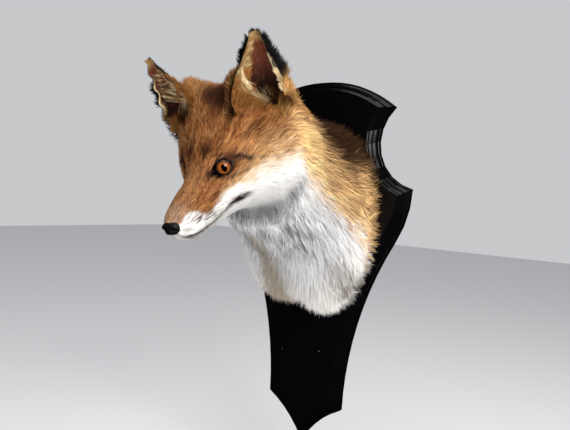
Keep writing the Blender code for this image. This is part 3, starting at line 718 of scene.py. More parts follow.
def netRows():
    # the sections of the net's rings and the angles of its columns
    raw = np.linspace(0, lastSection, 2000)
    weights = 1 + hill(raw, *skin["denserRings"]) + 1.2 * smooth(6, 3, raw)
    ringRows = spread(raw, weights, skin["rings"] - 1)
    raw = np.linspace(-math.pi, math.pi, 2000)
    weights = 1.0
    for denser in skin["denserColumns"]:
        weights = weights + hill(np.degrees(np.abs(raw)), *denser)
    return ringRows, spread(raw, weights, skin["around"] + 1)


def skinSurface(s, angle):
    point, normal, _, _ = bodyFrame(s, angle)
    place = toHead(straightBody(s, angle))
    depth = coatDepth(s, angle)
    for name, deep, wide in skin["folds"]:
        depth = depth + deep * np.exp(-((lineDistance(place, lines[name]) / wide) ** 2))
    depth = depth + skin["earHollow"] * smooth(9.0, 4.0, cupDistance(place))
    return point - normal * depth[..., None]


def sunkInLids(place):
    # inside the lids the skin drops behind the eye
    for hand in (1, -1):
        axis = eyeFrame(hand)[3]
        x, y, z = eyePlace(place, hand)
        size = almond(x, y, eyes["rim"])
        near = (size < 1.35) & (z > 0)
        inside = smooth(1.02, 0.86, size)
        radial = np.sqrt(np.clip(eyes["radius"] ** 2 - x**2 - y**2, 0, None))
        target = np.minimum(z, radial - skin["behindEye"])
        move = np.where(near, (target - z) * inside, 0.0)
        place = place + move[:, None] * axis
    return place


def buildSkin():
    rings, around = skin["rings"], skin["around"]
    ringRows, columnRows = netRows()
    work = bmesh.new()
    bmesh.ops.create_uvsphere(work, u_segments=around, v_segments=rings, radius=1.0)
    work.verts.ensure_lookup_table()
    ball = np.array([v.co for v in work.verts])
    # the ball's rings become sections and its meridians angles; its poles close both ends
    row = np.rint(np.arccos(np.clip(ball[:, 2], -1, 1)) / math.pi * rings).astype(int)
    turn = (np.arctan2(ball[:, 1], ball[:, 0]) + math.pi) / (2 * math.pi)
    column = np.rint(turn * around).astype(int) % around
    s = ringRows[np.clip(row - 1, 0, rings - 2)]
    angle = columnRows[column]
    points = skinSurface(s, angle)
    for pole, ring in ((row == 0, 1), (row == rings, rings - 1)):
        points[pole] = points[row == ring].mean(axis=0)
    points[row == 0] += skin["muzzleEnd"] * (onHead([1.0, 0, 0]) - onHead([0.0, 0, 0]))
    points[:, 1] = np.minimum(points[:, 1], skin["back"])
    headPart = s < form["turnFull"] - 1
    points[headPart] = onHead(sunkInLids(headPlace(points)))[headPart]
    for vert, point in zip(work.verts, points):
        vert.co = Vector(point) * mm
    mesh = solidMesh(work, "skin")
    under = markings(s, angle)
    # painted shade: the skin takes the coat's markings, darkened the deeper the coat over it, for the shade
    # among the locks
    coatColour(mesh, under * np.interp(coatDepth(s, angle), (0, 3, 12), (0.85, 0.62, 0.5))[:, None])
    made = finishedObject("foxSkin", mesh, skinMaterial)
    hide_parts("head", "lower_jaw", "neck", "shoulders")
    return points, [tuple(p.vertices) for p in mesh.polygons]


skinPoints, skinFaces = buildSkin()
skinTree = BVHTree.FromPolygons([Vector(p) for p in skinPoints], skinFaces)
print("skin made")


def eyeBall(side):
    hand = hands[side]
    centre, across, up, axis = eyeFrame(hand)
    centre = centre - axis * eyes["sunk"][side]
    radius = eyes["radius"]
    work = bmesh.new()
    around, rings = eyes["segments"]
    bmesh.ops.create_uvsphere(work, u_segments=around, v_segments=rings, radius=1.0)
    layer = work.loops.layers.uv.new("iris")
    for face in work.faces:
        for loop in face.loops:
            loop[layer].uv = (0.5 + loop.vert.co.x * 0.5, 0.5 + loop.vert.co.y * 0.5)
    for vert in work.verts:
        x, y, z = vert.co
        bulge = 1 + eyes["cornea"] * max(0.0, (z - 0.72) / 0.28)
        place = centre + radius * bulge * (across * x * hand + up * y + axis * z)
        vert.co = Vector(onHead(place)) * mm
    made = finishedObject("eyeBall_" + side, solidMesh(work, "eyeBall_" + side), eyeGlass)
    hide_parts("eye_" + side)


def almondReach(sizes, angle):
    # how far out the almond's edge lies in this direction
    low, high = 0.0, 30.0
    for _ in range(30):
        middle = (low + high) / 2
        if almond(middle * math.cos(angle), middle * math.sin(angle), sizes) < 1:
            low = middle
        else:
            high = middle
    return low


def eyeLids(side):
    # a ring turned from a small circle, then each of its rows laid where the lid goes
    centre, across, up, axis = eyeFrame(hands[side])
    axisTurned = onHead(centre + axis) - onHead(centre)
    radius = eyes["radius"]
    work = bmesh.new()
    made = bmesh.ops.create_circle(work, segments=lids["across"], radius=1.0)
    for vert in made["verts"]:
        vert.co.x += lids["ring"]
        vert.co.y, vert.co.z = 0.0, vert.co.y
    bmesh.ops.spin(work, geom=work.verts[:] + work.edges[:], cent=(0, 0, 0), axis=(0, 0, 1),
                   angle=2 * math.pi, steps=lids["around"], use_merge=True, use_duplicate=False)
    for vert in work.verts:
        angle = math.atan2(vert.co.y, vert.co.x)
        turn = math.atan2(vert.co.z, math.hypot(vert.co.x, vert.co.y) - lids["ring"])    # 0 is the outer edge
        inner, outer = almondReach(eyes["open"][side], angle), almondReach(eyes["rim"], angle)
        share = (1 + math.cos(turn)) / 2
        reach = inner + (outer + lids["overlap"] - inner) * share
        x, y = reach * math.cos(angle), reach * math.sin(angle)
        ball = math.sqrt(max(radius**2 - min(reach, radius) ** 2, 0.0)) if reach < radius else 0.0
        # the skin's level just outside the lid
        outside = centre + across * outer * 1.06 * math.cos(angle) + up * outer * 1.06 * math.sin(angle)
        hit = skinTree.ray_cast(Vector(onHead(outside + axis * 20)), Vector(-axisTurned))[0]
        level = (headPlace(np.array(hit)[None])[0] - centre) @ axis if hit else 4.0
        lid = math.sqrt(max(radius**2 - inner**2, 0.0)) + lids["overlap"]
        surface = lid + (level - lid) * smooth(0.0, 1.0, share)
        top = surface + lids["crown"] * math.sin(math.pi * share) + 0.1
        height = top if math.sin(turn) >= 0 else min(surface, ball) - lids["thick"]
        if abs(math.sin(turn)) < 1e-6:
            height = surface - lids["thick"] / 2
        vert.co = Vector(onHead(centre + across * x + up * y + axis * height)) * mm
    finishedObject("eyeLids_" + side, solidMesh(work, "eyeLids_" + side), lidMaterial)


for sideName in hands:
    eyeBall(sideName)
    eyeLids(sideName)
print("eyes made")

nose = {
    "centre": (69.5, -25.5, 0.0), "half": (5.8, 5.6, 8.6), "axis": (0.96, -0.2, 0.0), "square": 2.7,
    "segments": (72, 44),
    "groove": 0.7,        # width and depth of the line below the nostrils
    # nostrils and dip: place, reach and push
    "dents": (((75.2, -26.0, 4.4), 1.7, (-3.6, 0.3, -0.5)), ((73.2, -27.2, 7.3), 1.2, (-1.6, 0.4, -1.4)),
              ((75.6, -29.0, 0.0), 1.4, (-0.8, 0.0, 0.0))),
}


def buildNose():
    pole = unit(np.array(nose["axis"]))
    side = unit(np.cross((0.0, 1.0, 0.0), pole))
    axes = np.stack([side, np.cross(pole, side), pole])
    work = bmesh.new()
    around, rings = nose["segments"]
    bmesh.ops.create_uvsphere(work, u_segments=around, v_segments=rings, radius=1.0)
    for vert in work.verts:
        ball = np.array(vert.co)
        ball = ball / np.sum(np.abs(ball) ** nose["square"]) ** (1 / nose["square"])
        place = np.array(nose["centre"]) + (ball * np.array(nose["half"])[::-1]) @ axes
        for middle, reach, push in nose["dents"]:
            for hand in (1, -1) if middle[2] else (1,):
                away = place - np.array(middle) * mirror(hand)
                place = place + np.array(push) * mirror(hand) * math.exp(-(away @ away) / (2 * reach**2))
        groove = math.exp(-((place[2] / nose["groove"]) ** 2)) * smooth(-24.0, -28.0, place[1])
        place = place - pole * nose["groove"] * float(groove)
        vert.co = Vector(onHead(place)) * mm
    made = finishedObject("nosePad", solidMesh(work, "nosePad"), noseMaterial)
    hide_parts("nose")


buildNose()
print("nose made")

# the bare leaf lies inside the ear's outline by the fur on its back, most on the outer side
ears = {
    "left": {"corners": (0.10, 0.38), "root": (-62.0, 22.0, 46.0), "tip": (-50.0, 101.0, 62.0),
             "opens": (0.85, 0.10, 0.50), "bow": 5.0,
             "rows": ((34.0, 60.0, 35.0, 115.0), (41.0, 58.0, 42.0, 125.0), (42.0, 54.0, 38.0, 138.0),
                      (34.0, 54.0, 28.0, 140.0), (19.0, 56.0, 16.0, 135.0), (5.0, 50.0, 5.0, 90.0))},
    "right": {"corners": (0.30, 0.0), "root": (-60.0, 22.0, 38.0), "tip": (-48.0, 100.0, 65.0),
              "opens": (0.92, 0.10, 0.24), "bow": -2.0,
              "rows": ((29.0, 60.0, 30.0, 90.0), (36.0, 60.0, 32.0, 105.0), (35.0, 60.0, 28.0, 115.0),
                       (26.0, 62.0, 21.0, 120.0), (14.0, 65.0, 12.0, 115.0), (4.0, 50.0, 4.5, 80.0))},
    "leaf": 1.1,          # thickness
    "grid": (56, 48),
    "waves": 37.0,        # how closely the margins are waved
}


def earPoint(side, t, w):
    # t runs from root to tip, w from the inner edge (-1) to the outer one (1)
    ear = ears[side]
    root, tip, opens = (np.array(ear[key]) * mirror(hands[side]) for key in ("root", "tip", "opens"))
    along = unit(tip - root)
    opens = unit(opens - along * (opens @ along))
    across = np.cross(along, opens)
    across = across * np.sign(across[2] * hands[side])
    corner = np.where(w > 0, ear["corners"][1], ear["corners"][0]) * smooth(0.3, 1.0, np.abs(w))
    t = t + np.clip(1 - t, 0, 1) ** 3 * corner    # the lower corners of the leaf draw up into the fur
    table = np.array(ear["rows"])
    inner, innerCurl, outer, outerCurl = np.moveaxis(between(table, t * (len(table) - 1)), -1, 0)
    half = np.where(w > 0, outer, inner)
    curl = np.radians(np.where(w > 0, outerCurl, innerCurl))
    radius = half / curl
    spine = root + (tip - root) * t[..., None] + across * (ear["bow"] * np.sin(math.pi * t))[..., None]
    place = spine + across * (radius * np.sin(w * curl))[..., None]
    ruffle = (1.1 + 0.9 * (w > 0)) * np.sin(t * ears["waves"] + 1.0) * np.clip(np.abs(w) - 0.72, 0, 1) / 0.28
    place = place + opens * (radius * (1 - np.cos(w * curl)) + ruffle)[..., None]
    return onHead(place)


def earFrame(side, t, w):
    # the normal looks into the cup
    step = 1e-3
    alongT = earPoint(side, t + step, w) - earPoint(side, t - step, w)
    alongW = earPoint(side, t, w + step) - earPoint(side, t, w - step)
    normal = unit(np.cross(alongW, alongT)) * hands[side]
    return earPoint(side, t, w), normal, alongT / (2 * step), alongW / (2 * step)


def earColours(t, w, inside):
    if not inside:
        return blend(evenShade("earBlack", len(t)), "earRoot", smooth(0.60, 0.42, t) * 0.8)
    # painted shade: the inside of the cup is near black low down, where it is deepest
    colour = evenShade("earHollow", len(t))
    colour = blend(colour, "earInner", smooth(0.36, 0.80, t + 0.03 * np.sin(w * 40)))
    colour = blend(colour, "earTip", smooth(0.50, 0.80, -w) * smooth(0.1, 0.4, t) * 0.9)
    colour = blend(colour, "temple", smooth(0.45, 0.75, -w) * smooth(0.62, 0.5, t) * 0.9)
    margin = smooth(0.84, 0.92, w) * smooth(0.36, 0.5, t) * smooth(0.82, 0.7, t)
    colour = blend(colour, "earCream", margin * 0.9)
    colour = blend(colour, "temple", smooth(0.5, 0.62, w) * smooth(0.36, 0.26, t))
    return blend(colour, "earTip", smooth(0.86, 0.96, t) * 0.9)


def buildEar(side):
    columns, rows = ears["grid"]
    work = bmesh.new()
    bmesh.ops.create_grid(work, x_segments=columns, y_segments=rows, size=1.0)
    flat = np.array([v.co for v in work.verts])
    w, t = flat[:, 0], (flat[:, 1] + 1) / 2
    point, normal, _, _ = earFrame(side, t, w)
    leaf = ears["leaf"]
    for vert, p in zip(work.verts, point - normal * leaf / 2):
        vert.co = Vector(p) * mm
    work.normal_update()
    low = work.faces[:]
    made = bmesh.ops.extrude_face_region(work, geom=low)
    lifted = [g for g in made["geom"] if isinstance(g, bmesh.types.BMVert)]
    tree = kdtree.KDTree(len(point))
    for i, p in enumerate(point - normal * leaf / 2):
        tree.insert(Vector(p), i)
    tree.balance()
    inner = {}
    for vert in lifted:
        i = tree.find(vert.co / mm)[1]
        inner[vert] = i
        vert.co = Vector(point[i] + normal[i] * leaf / 2) * mm
    work.verts.index_update()
    colours = np.zeros((len(work.verts), 3))
    insideColour, outsideColour = earColours(t, w, True), earColours(t, w, False)
    for vert in work.verts:
        if vert in inner:
            colours[vert.index] = insideColour[inner[vert]]
        else:
            colours[vert.index] = outsideColour[tree.find(vert.co / mm)[1]]
    mesh = solidMesh(work, "ear_" + side)
    coatColour(mesh, colours)
    made = finishedObject("earLeaf_" + side, mesh, earMaterial)
    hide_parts("ear_" + side)


for sideName in hands:
    buildEar(sideName)
print("ears made")


def lockShape(joints):
    # one small triangle drawn out joint by joint, its end closed to a tip
    work = bmesh.new()
    bmesh.ops.create_circle(work, cap_ends=True, segments=3, radius=1.0)
    region = work.faces[:]
    for joint in range(joints):
        made = bmesh.ops.extrude_face_region(work, geom=region)
        if joint:
            bmesh.ops.delete(work, geom=region, context="FACES_ONLY")    # no wall stays inside
        region = [g for g in made["geom"] if isinstance(g, bmesh.types.BMFace)]
        ends = [g for g in made["geom"] if isinstance(g, bmesh.types.BMVert)]
        bmesh.ops.translate(work, verts=ends, vec=(0, 0, 1))
    bmesh.ops.pointmerge(work, verts=ends, merge_co=(0, 0, joints))
    bmesh.ops.triangulate(work, faces=work.faces[:])
    bmesh.ops.recalc_face_normals(work, faces=work.faces[:])
    work.verts.index_update()
    points = np.array([v.co for v in work.verts])
    faces = np.array([[v.index for v in f.verts] for f in work.faces])
    work.free()
    return points, faces


def onMap(u, v):
    # places on the unwrap, kept clear of its border
    return np.stack([0.004 + 0.992 * u, 0.004 + 0.992 * np.clip(v, 0, 1)], -1)


def locksMesh(name, path, normal, width, colours, rootMap):
    # path is (locks, joints + 1, 3); every lock is a copy of one shape laid along its own path
    joints = path.shape[1] - 1
    shape, faces = lockShape(joints)
    step = np.rint(shape[:, 2]).astype(int)
    half = width[:, None] * np.array(coat["taper"][joints])[step][None, :] * 0.5
    tipward = unit(np.diff(path, axis=1))
    tipward = np.concatenate([tipward, tipward[:, -1:]], 1)
    outward = unit(normal[:, None] - tipward * np.sum(tipward * normal[:, None], -1, keepdims=True))
    sideways = np.cross(outward, tipward)
    points = path[:, step] + sideways[:, step] * (half * shape[None, :, 0])[..., None]
    points = points + outward[:, step] * (half * shape[None, :, 1] * coat["flat"])[..., None]
    count, corners = len(path), len(shape)
    index = (faces[None] + (np.arange(count) * corners)[:, None, None]).reshape(-1, 3)
    mesh = bpy.data.meshes.new(name)
    mesh.vertices.add(count * corners)
    mesh.vertices.foreach_set("co", (points.reshape(-1, 3) * mm).astype(np.float32).ravel())
    mesh.loops.add(index.size)
    mesh.loops.foreach_set("vertex_index", index.astype(np.int32).ravel())
    mesh.polygons.add(len(index))
    mesh.polygons.foreach_set("loop_start", np.arange(0, index.size, 3, dtype=np.int32))
    mesh.update(calc_edges=True)
    mesh.shade_smooth()
    coatColour(mesh, colours[:, step].reshape(-1, 3))
    wide, tall = coat["bakePatch"]
    patch = np.stack([shape[:, 0] * wide, (step / joints - 0.5) * tall], -1)
    corner = (rootMap[:, None] + patch[None]).reshape(-1, 2)
    layer = mesh.uv_layers.new(name="OFBake")
    layer.data.foreach_set("uv", corner[index.ravel()].astype(np.float32).ravel())
    bent = np.empty(count * corners * 3, np.float32)
    mesh.vertex_normals.foreach_get("vector", bent)
    bent = bent.reshape(count, corners, 3)
    soft = unit(bent * (1 - coat["soften"]) + normal[:, None] * coat["soften"])
    mesh.normals_split_custom_set_from_vertices(soft.reshape(-1, 3))
    return mesh


coat = {
    "soften": 0.55,
    "taper": {1: (1.0, 0.0), 2: (0.75, 1.0, 0.0)},
    # zone: first and last section, locks, joints, length and width along the zone
    "zones": (
        ("coatMuzzle", 0.15, 4.1, 34000, 1, (2.4, 4.8), (0.28, 0.38)),
        ("coatFace", 4.0, 6.7, 42000, 1, (4.8, 7.8), (0.34, 0.46)),
        ("coatBrow", 6.5, 9.0, 40000, 1, (7.8, 13.0), (0.44, 0.60)),
        ("coatCheeks", 8.7, 11.3, 18000, 2, (13.0, 21.0), (0.75, 0.95)),
        ("hairCheeks", 8.7, 11.3, 17000, 1, (12.0, 18.0), (0.42, 0.50)),
        ("coatNeck", 11.1, 13.5, 16500, 2, (21.0, 26.0), (0.9, 1.05)),
        ("coatChest", 13.3, 15.5, 17000, 2, (26.0, 28.0), (0.95, 1.1)),
        ("coatShoulders", 15.3, 17.95, 16000, 2, (30.0, 27.0), (1.0, 1.15)),
        ("hairNeck", 11.1, 14.6, 18000, 1, (18.0, 22.0), (0.46, 0.52)),
        ("hairChest", 14.4, 17.95, 18000, 1, (20.0, 22.0), (0.50, 0.56)),
    ),
    "clump": 12,          # locks that share one lie
    "drawn": 0.86,        # how far clumps are drawn out along the lie
    "gather": (0.35, 0.72, 0.72, 0.50),    # how far their tips draw together, from the head to the wall
    "swing": 13.0,        # degrees that a clump's lie strays
    "stray": 7.0,         # and each lock's own
    "uneven": (0.7, 1.15),    # shares of the length
    "lay": (0.40, 1.0),       # how much of the coat's depth a lock stands up
    "ticked": 0.22,       # share of the red locks with a pale tip, and as many with a dark one
    "greyClumps": 0.27,   # share of the throat's clumps, then of its single locks
    "greyLocks": 0.10,
    "rooted": 0.25,       # how far the roots reach into the skin
    "back": -18.6,        # just in front of the board
    "flat": 0.55,         # a lock's thickness against its width
    "bakePatch": (0.0007, 0.003),
}


def scatter(first, last, count):
    # roots spread evenly over the zone's own area
    rows, columns = 90, 220
    sEdge, aEdge = np.linspace(first, last, rows + 1), np.linspace(-math.pi, math.pi, columns + 1)
    s, a = np.meshgrid((sEdge[1:] + sEdge[:-1]) / 2, (aEdge[1:] + aEdge[:-1]) / 2, indexing="ij")
    _, _, alongS, alongA = bodyFrame(s, a)
    area = np.linalg.norm(np.cross(alongS, alongA), axis=-1)
    area[1::2] = area[1::2, ::-1]
    total = np.cumsum(area.ravel())
    picks = np.searchsorted(total, (np.arange(count) + chance.uniform(0, 1, count)) / count * total[-1])
    row, column = np.divmod(np.clip(picks, 0, rows * columns - 1), columns)
    column = np.where(row % 2 == 1, columns - 1 - column, column)
    s = sEdge[row] + chance.uniform(0, 1, count) * (sEdge[1] - sEdge[0])
    a = aEdge[column] + chance.uniform(0, 1, count) * (aEdge[1] - aEdge[0])
    return s, a


def bareSpots(s, angle):
    place = toHead(straightBody(s, angle))
    bare = lineDistance(place, lines["mouth"]) < 1.2 + 0.6 * smooth(3.5, 2.0, s)
    for hand in (1, -1):
        x, y, z = eyePlace(place, hand)
        bare |= (almond(x, y, eyes["rim"]) < 1.0) & (z > -2)
    bare |= cupDistance(place) < 7.0
    reach = (place - np.array(nose["centre"])) / (np.array(nose["half"]) + 0.3)
    bare |= np.sum(np.abs(reach) ** nose["square"], -1) < 1
    return bare


def clumpOf(point, lie, heads):
    # each root joins the nearest clump, near being measured longer along the lie
    clumps = kdtree.KDTree(len(heads))
    for i, k in enumerate(heads):
        clumps.insert(Vector(point[k]), i)
    clumps.balance()
    near = np.array([[found[1] for found in clumps.find_n(Vector(p), 7)] for p in point])
    away = point[:, None] - point[heads][near]
    along = np.sum(away * lie[:, None], -1)
    best = np.argmin(np.sum(away**2, -1) - coat["drawn"] * along**2, axis=1)
    return near[np.arange(len(point)), best]


def alongSkin(thrust, alongS, alongA):
    # the change of section and angle that a thrust along the surface makes
    e, f, g = (np.sum(p * q, -1) for p, q in ((alongS, alongS), (alongS, alongA), (alongA, alongA)))
    ps, pa = np.sum(alongS * thrust, -1), np.sum(alongA * thrust, -1)
    fixed = e * g - f * f + 1e-9
    return (g * ps - f * pa) / fixed, (e * pa - f * ps) / fixed


def lockPaths(s, angle, joints, fullLength):
    count = len(s)
    point, normal, alongS, alongA = bodyFrame(s, angle)
    degrees = np.degrees(np.abs(angle))
    # the lie: back along the body, sinking under gravity on the neck and chest
    down = np.array([0.0, 0.0, -1.0]) - normal * (-normal[:, 2:3])
    sink = smooth(8.5, 12.0, s) * np.interp(degrees, (30, 80, 120, 180), (0.0, 0.10, 0.10, 0.0))
    lie = unit(unit(alongS) + down * sink[:, None])
    heads = np.sort(chance.choice(count, count // coat["clump"], replace=False))
    group = clumpOf(point, lie, heads)
    swing = chance.normal(0, coat["swing"], len(heads))[group] + chance.normal(0, coat["stray"], count)
    swing = np.radians(swing)[:, None] * (0.5 + 0.5 * smooth(3, 9, s))[:, None]
    sideways = np.cross(normal, lie)
    lie = lie * np.cos(swing) + sideways * np.sin(swing)
    length = fullLength * chance.uniform(*coat["uneven"], count)
    # short round the ear's cup, so that it stays open
    length = length * (0.35 + 0.65 * smooth(7, 17, cupDistance(toHead(straightBody(s, angle)))))
    moveS, moveA = alongSkin(lie * length[:, None], alongS, alongA)
    tipS, tipA = s + moveS, angle + moveA
    headTipS, headTipA = tipS[heads][group], tipA[heads][group]
    turnBack = (headTipA - tipA + math.pi) % (2 * math.pi) - math.pi
    lay = chance.uniform(*coat["lay"], count) ** 0.8
    # tips lift a little, more on the neck and most between the ears
    tipLift = chance.uniform(-0.05, 0.25, count) + 0.25 * smooth(11.5, 13.0, s) * chance.uniform(0, 1, count)
    tipLift = tipLift + 0.9 * smooth(7.6, 8.6, s) * smooth(10.6, 9.6, s) * smooth(48, 28, degrees)
    path = np.empty((count, joints + 1, 3))
    for k in range(joints + 1):
        t = k / joints
        pull = np.interp(s, (11.5, 13.0, 15.5, 17.0), coat["gather"]) * t * t
        sk = s + moveS * t + (headTipS - tipS) * pull
        ak = angle + moveA * t + turnBack * pull
        over = np.clip(sk - lastSection, 0, None)
        sk = np.clip(sk, 0.02, lastSection)
        at, out, backward, _ = bodyFrame(sk, ak)
        depth = coatDepth(sk, ak)
        rise = lay * (1 - (1 - t) ** 2.2) + tipLift * t**3
        at = at - out * (depth * (1 - rise))[:, None] - out * coat["rooted"]
        # past the last section a lock turns outwards along the board
        flare = out.copy()
        flare[:, 1] = 0
        at = at + unit(flare) * (over * np.linalg.norm(backward, axis=-1))[:, None]
        at[:, 1] = np.minimum(at[:, 1], coat["back"])
        path[:, k] = at
    return path, normal, group


def lockColours(s, angle, joints, group):
    # clumps and single locks differ in tone; some of the red ones are ticked, some of the white ones grey
    count, clumps, degrees = len(s), len(s) // coat["clump"], np.degrees(np.abs(angle))
    root = markings(s, angle)
    flat = straightBody(s, angle)
    brown = smooth(0.62, 0.30, root[:, 2] / (root[:, 0] + 1e-6))
    tone = 1 + (0.06 + 0.20 * brown) * chance.normal(0, 1, clumps)[group]
    tone = tone + (0.06 + 0.24 * brown) * chance.normal(0, 1, count)
    ticking = chance.uniform(0, 1, count)
    light = smooth(0.05, 0.24, root[:, 0])
    plain = 1 - 0.75 * smooth(0.72, 0.88, root[:, 0])
    streakZone = smooth(8.2, 9.6, s) * smooth(100, 125, degrees) * (1 - 0.8 * smooth(12.8, 14.8, s))
    tone = tone + 0.12 * streakZone * chance.normal(0, 1, clumps)[group]
    darkClump = (chance.uniform(0, 1, clumps) < coat["greyClumps"])[group] * chance.uniform(0.65, 1.0, count)
    darkOne = (chance.uniform(0, 1, count) < coat["greyLocks"]) * 0.8
    grey = np.clip(darkClump + darkOne, 0, 1) * streakZone * smooth(-0.5, 0.4, grain(flat, 16, 9))
    colours = np.empty((count, joints + 1, 3))
    for k in range(joints + 1):
        t = k / joints
        # painted shade: each lock darkens towards its root, for the shade deep in the coat; pale locks a
        # little less
        rootShadowToTip = 0.52 + 0.48 * t + 0.2 * (1 - brown) * (1 - t)
        tint = root * np.clip(tone, 0.45, 1.6)[:, None] * rootShadowToTip[:, None]
        pale = (ticking < coat["ticked"]) * brown * light * (0.1 + 0.8 * t) * smooth(11, 8, s)
        dark = (ticking > 1 - coat["ticked"]) * brown * plain * (0.25 + 0.6 * t)
        tint = blend(blend(tint, "fleck", pale), "eyeDark", dark)
        tint = tint + (shade("streak") - tint) * (grey * (0.35 + 0.65 * t))[:, None]
        colours[:, k] = np.clip(tint, 0.0, 0.95)
    return colours


def buildZone(name, first, last, count, joints, lengths, widths):
    s, angle = scatter(first, last, int(count * 1.04))
    keep = ~bareSpots(s, angle)
    s, angle = s[keep][:count], angle[keep][:count]
    share = (s - first) / (last - first)
    path, normal, group = lockPaths(s, angle, joints, lengths[0] + (lengths[1] - lengths[0]) * share)
    colours = lockColours(s, angle, joints, group)
    width = (widths[0] + (widths[1] - widths[0]) * share) * chance.uniform(0.7, 1.25, len(s))
    rootMap = onMap(((angle + math.pi) % (2 * math.pi)) / (2 * math.pi), share)
    mesh = locksMesh(name, path, normal, width, colours, rootMap)
    finishedObject(name, mesh, furMaterial)
    print(name, len(s), "locks", len(mesh.polygons), "triangles")


for zone in coat["zones"]:
    buildZone(*zone)

# ear fur: locks, face of the leaf, t and w where they root, heading in degrees from the tip
# towards the outer edge, lift from the leaf, length, width, colours of root and tip
earCoat = {
    "left": (
        (2100, -1, (-0.02, 0.97), (-1.0, 1.0), 0, 30, (13.0, 6.5), 0.62, "earBlack", "earBlack"),
        (650, -1, (0.45, 0.92), (0.40, 0.84), 24, 46, (12.0, 8.0), 0.6, "earBlack", "earBlack"),
        (260, -1, (0.70, 0.93), (-1.0, -0.8), -50, 25, (8.0, 7.0), 0.6, "earBlack", "earBlack"),
        (900, 1, (0.08, 0.60), (-1.0, -0.5), -8, 30, (13.0, 9.0), 0.6, "temple", "earRoot"),
        (900, -1, (0.02, 0.62), (-1.0, -0.45), -12, 26, (14.0, 9.0), 0.62, "temple", "earRoot"),
        (420, -1, (0.10, 0.64), (-1.0, -0.55), -22, 34, (13.0, 10.0), 0.5, "earRoot", "earGold"),
        (420, -1, (0.40, 0.78), (0.84, 0.99), 62, 24, (6.5, 1.5), 0.5, "earTip", "earCream"),
        (240, -1, (0.16, 0.42), (0.84, 0.99), 50, 22, (5.0, 4.0), 0.6, "temple", "earCream"),
        (160, 1, (0.76, 0.96), (0.88, 1.0), -30, 20, (4.0, 3.5), 0.5, "earTip", "earTip"),
        (900, 1, (0.60, 0.97), (-1.0, -0.5), 12, 12, (8.0, 4.5), 0.46, "temple", "earTip"),
        (160, 1, (0.60, 0.97), (-1.0, -0.6), 22, 18, (8.0, 4.5), 0.4, "earTip", "earCream"),
        # hairs in the cup root in its painted shade
        (260, 1, (0.34, 0.86), (-0.5, 0.7), -6, 9, (10.0, 7.0), 0.26, "earHollow", "earInner"),
        (120, 1, (0.40, 0.80), (-0.5, 0.7), -14, 10, (9.0, 6.0), 0.2, "earInner", "earTip"),
        (120, -1, (0.93, 1.0), (-1.0, 1.0), 0, 20, (4.5, 3.5), 0.5, "earBlack", "earBlack"),
    ),
    "right": (
        (1900, -1, (-0.02, 0.97), (-0.4, 1.0), 0, 28, (10.0, 4.5), 0.58, "earBlack", "earBlack"),
        (600, -1, (-0.02, 0.90), (-1.0, -0.4), 10, 22, (6.5, 3.0), 0.5, "earBlack", "earBlack"),
        (300, 1, (0.52, 0.86), (-0.2, 0.98), -122, 12, (15.0, 9.0), 0.5, "earTip", "earCream"),
        # hairs in the cup root in its painted shade
        (520, 1, (0.24, 0.84), (-0.5, 0.98), -118, 12, (13.0, 10.0), 0.55, "earHollow", "earInner"),
        (240, 1, (0.10, 0.98), (0.90, 1.0), -20, 16, (5.0, 3.5), 0.5, "earTip", "earTip"),
        (240, -1, (0.48, 0.72), (0.75, 1.0), 40, 26, (8.0, 7.0), 0.6, "earBlack", "earBlack"),
        (300, -1, (0.0, 0.38), (0.6, 1.0), 66, 30, (9.0, 6.0), 0.5, "temple", "earRoot"),
        (260, 1, (0.20, 0.36), (-1.0, -0.1), 30, 26, (15.0, 12.0), 0.5, "earCream", "earRoot"),
        (800, -1, (0.02, 0.62), (-1.0, -0.5), -8, 26, (11.0, 7.0), 0.5, "eyeDark", "temple"),
        (260, -1, (0.10, 0.70), (-1.0, -0.6), -16, 32, (10.0, 7.0), 0.4, "temple", "earRoot"),
    ),
    # strands drawn across the cup from one place on the leaf to another
    "bands": {
        "left": (
            (230, (0.65, -0.96), (0.28, -0.40), 3.0, 0.6, "earCream"),
            (220, (0.62, -0.97), (0.24, -0.50), 4.0, 0.6, "earTip"),
            (110, (0.50, -0.90), (0.16, -0.60), 5.5, 0.6, "temple"),
        ),
        "right": (
            (60, (0.58, 0.7), (0.36, -0.5), 3.0, 0.45, "earCream"),
            (50, (0.60, 0.7), (0.34, -0.5), 4.0, 0.45, "temple"),
        ),
    },
    # strands along the cup's front lip and across its mouth: places on the head they pass through
    "lips": {
        "left": (
            (120, ((-43.0, 53.0, 40.0), (-45.5, 46.5, 46.0), (-51.0, 37.5, 54.5)), 1.5, 0.45, "earCream"),
            (130, ((-42.5, 52.0, 39.5), (-45.0, 46.0, 45.0), (-50.0, 37.5, 53.5)), 2.2, 0.5, "earTip"),
            (260, ((-40.0, 50.0, 39.0), (-44.0, 44.5, 44.0), (-49.0, 37.5, 52.0)), 2.8, 0.5, "earRoot"),
            (260, ((-58.0, 24.0, 63.0), (-60.5, 31.0, 65.5), (-63.5, 41.0, 67.0)), 2.6, 0.5, "earRoot"),
            (160, ((-58.0, 25.0, 63.5), (-60.5, 32.0, 66.0), (-63.5, 42.0, 67.5)), 2.8, 0.45, "earGold"),
            (18, ((-50.0, 39.5, 52.0), (-52.5, 46.5, 50.5), (-53.5, 53.0, 47.0)), 2.8, 0.26, "earCream"),
            (20, ((-53.5, 37.0, 56.5), (-56.5, 44.0, 55.5), (-58.0, 51.0, 52.0)), 2.8, 0.26, "earRoot"),
        ),
        "right": (
            (160, ((-31.0, 47.0, 27.0), (-33.0, 40.0, 35.0), (-39.0, 33.0, 44.0)), 2.4, 0.45, "temple"),
            (60, ((-35.0, 53.0, 26.0), (-32.0, 46.0, 30.0), (-34.0, 39.0, 38.0)), 1.8, 0.35, "earCream"),
        ),
    },
}


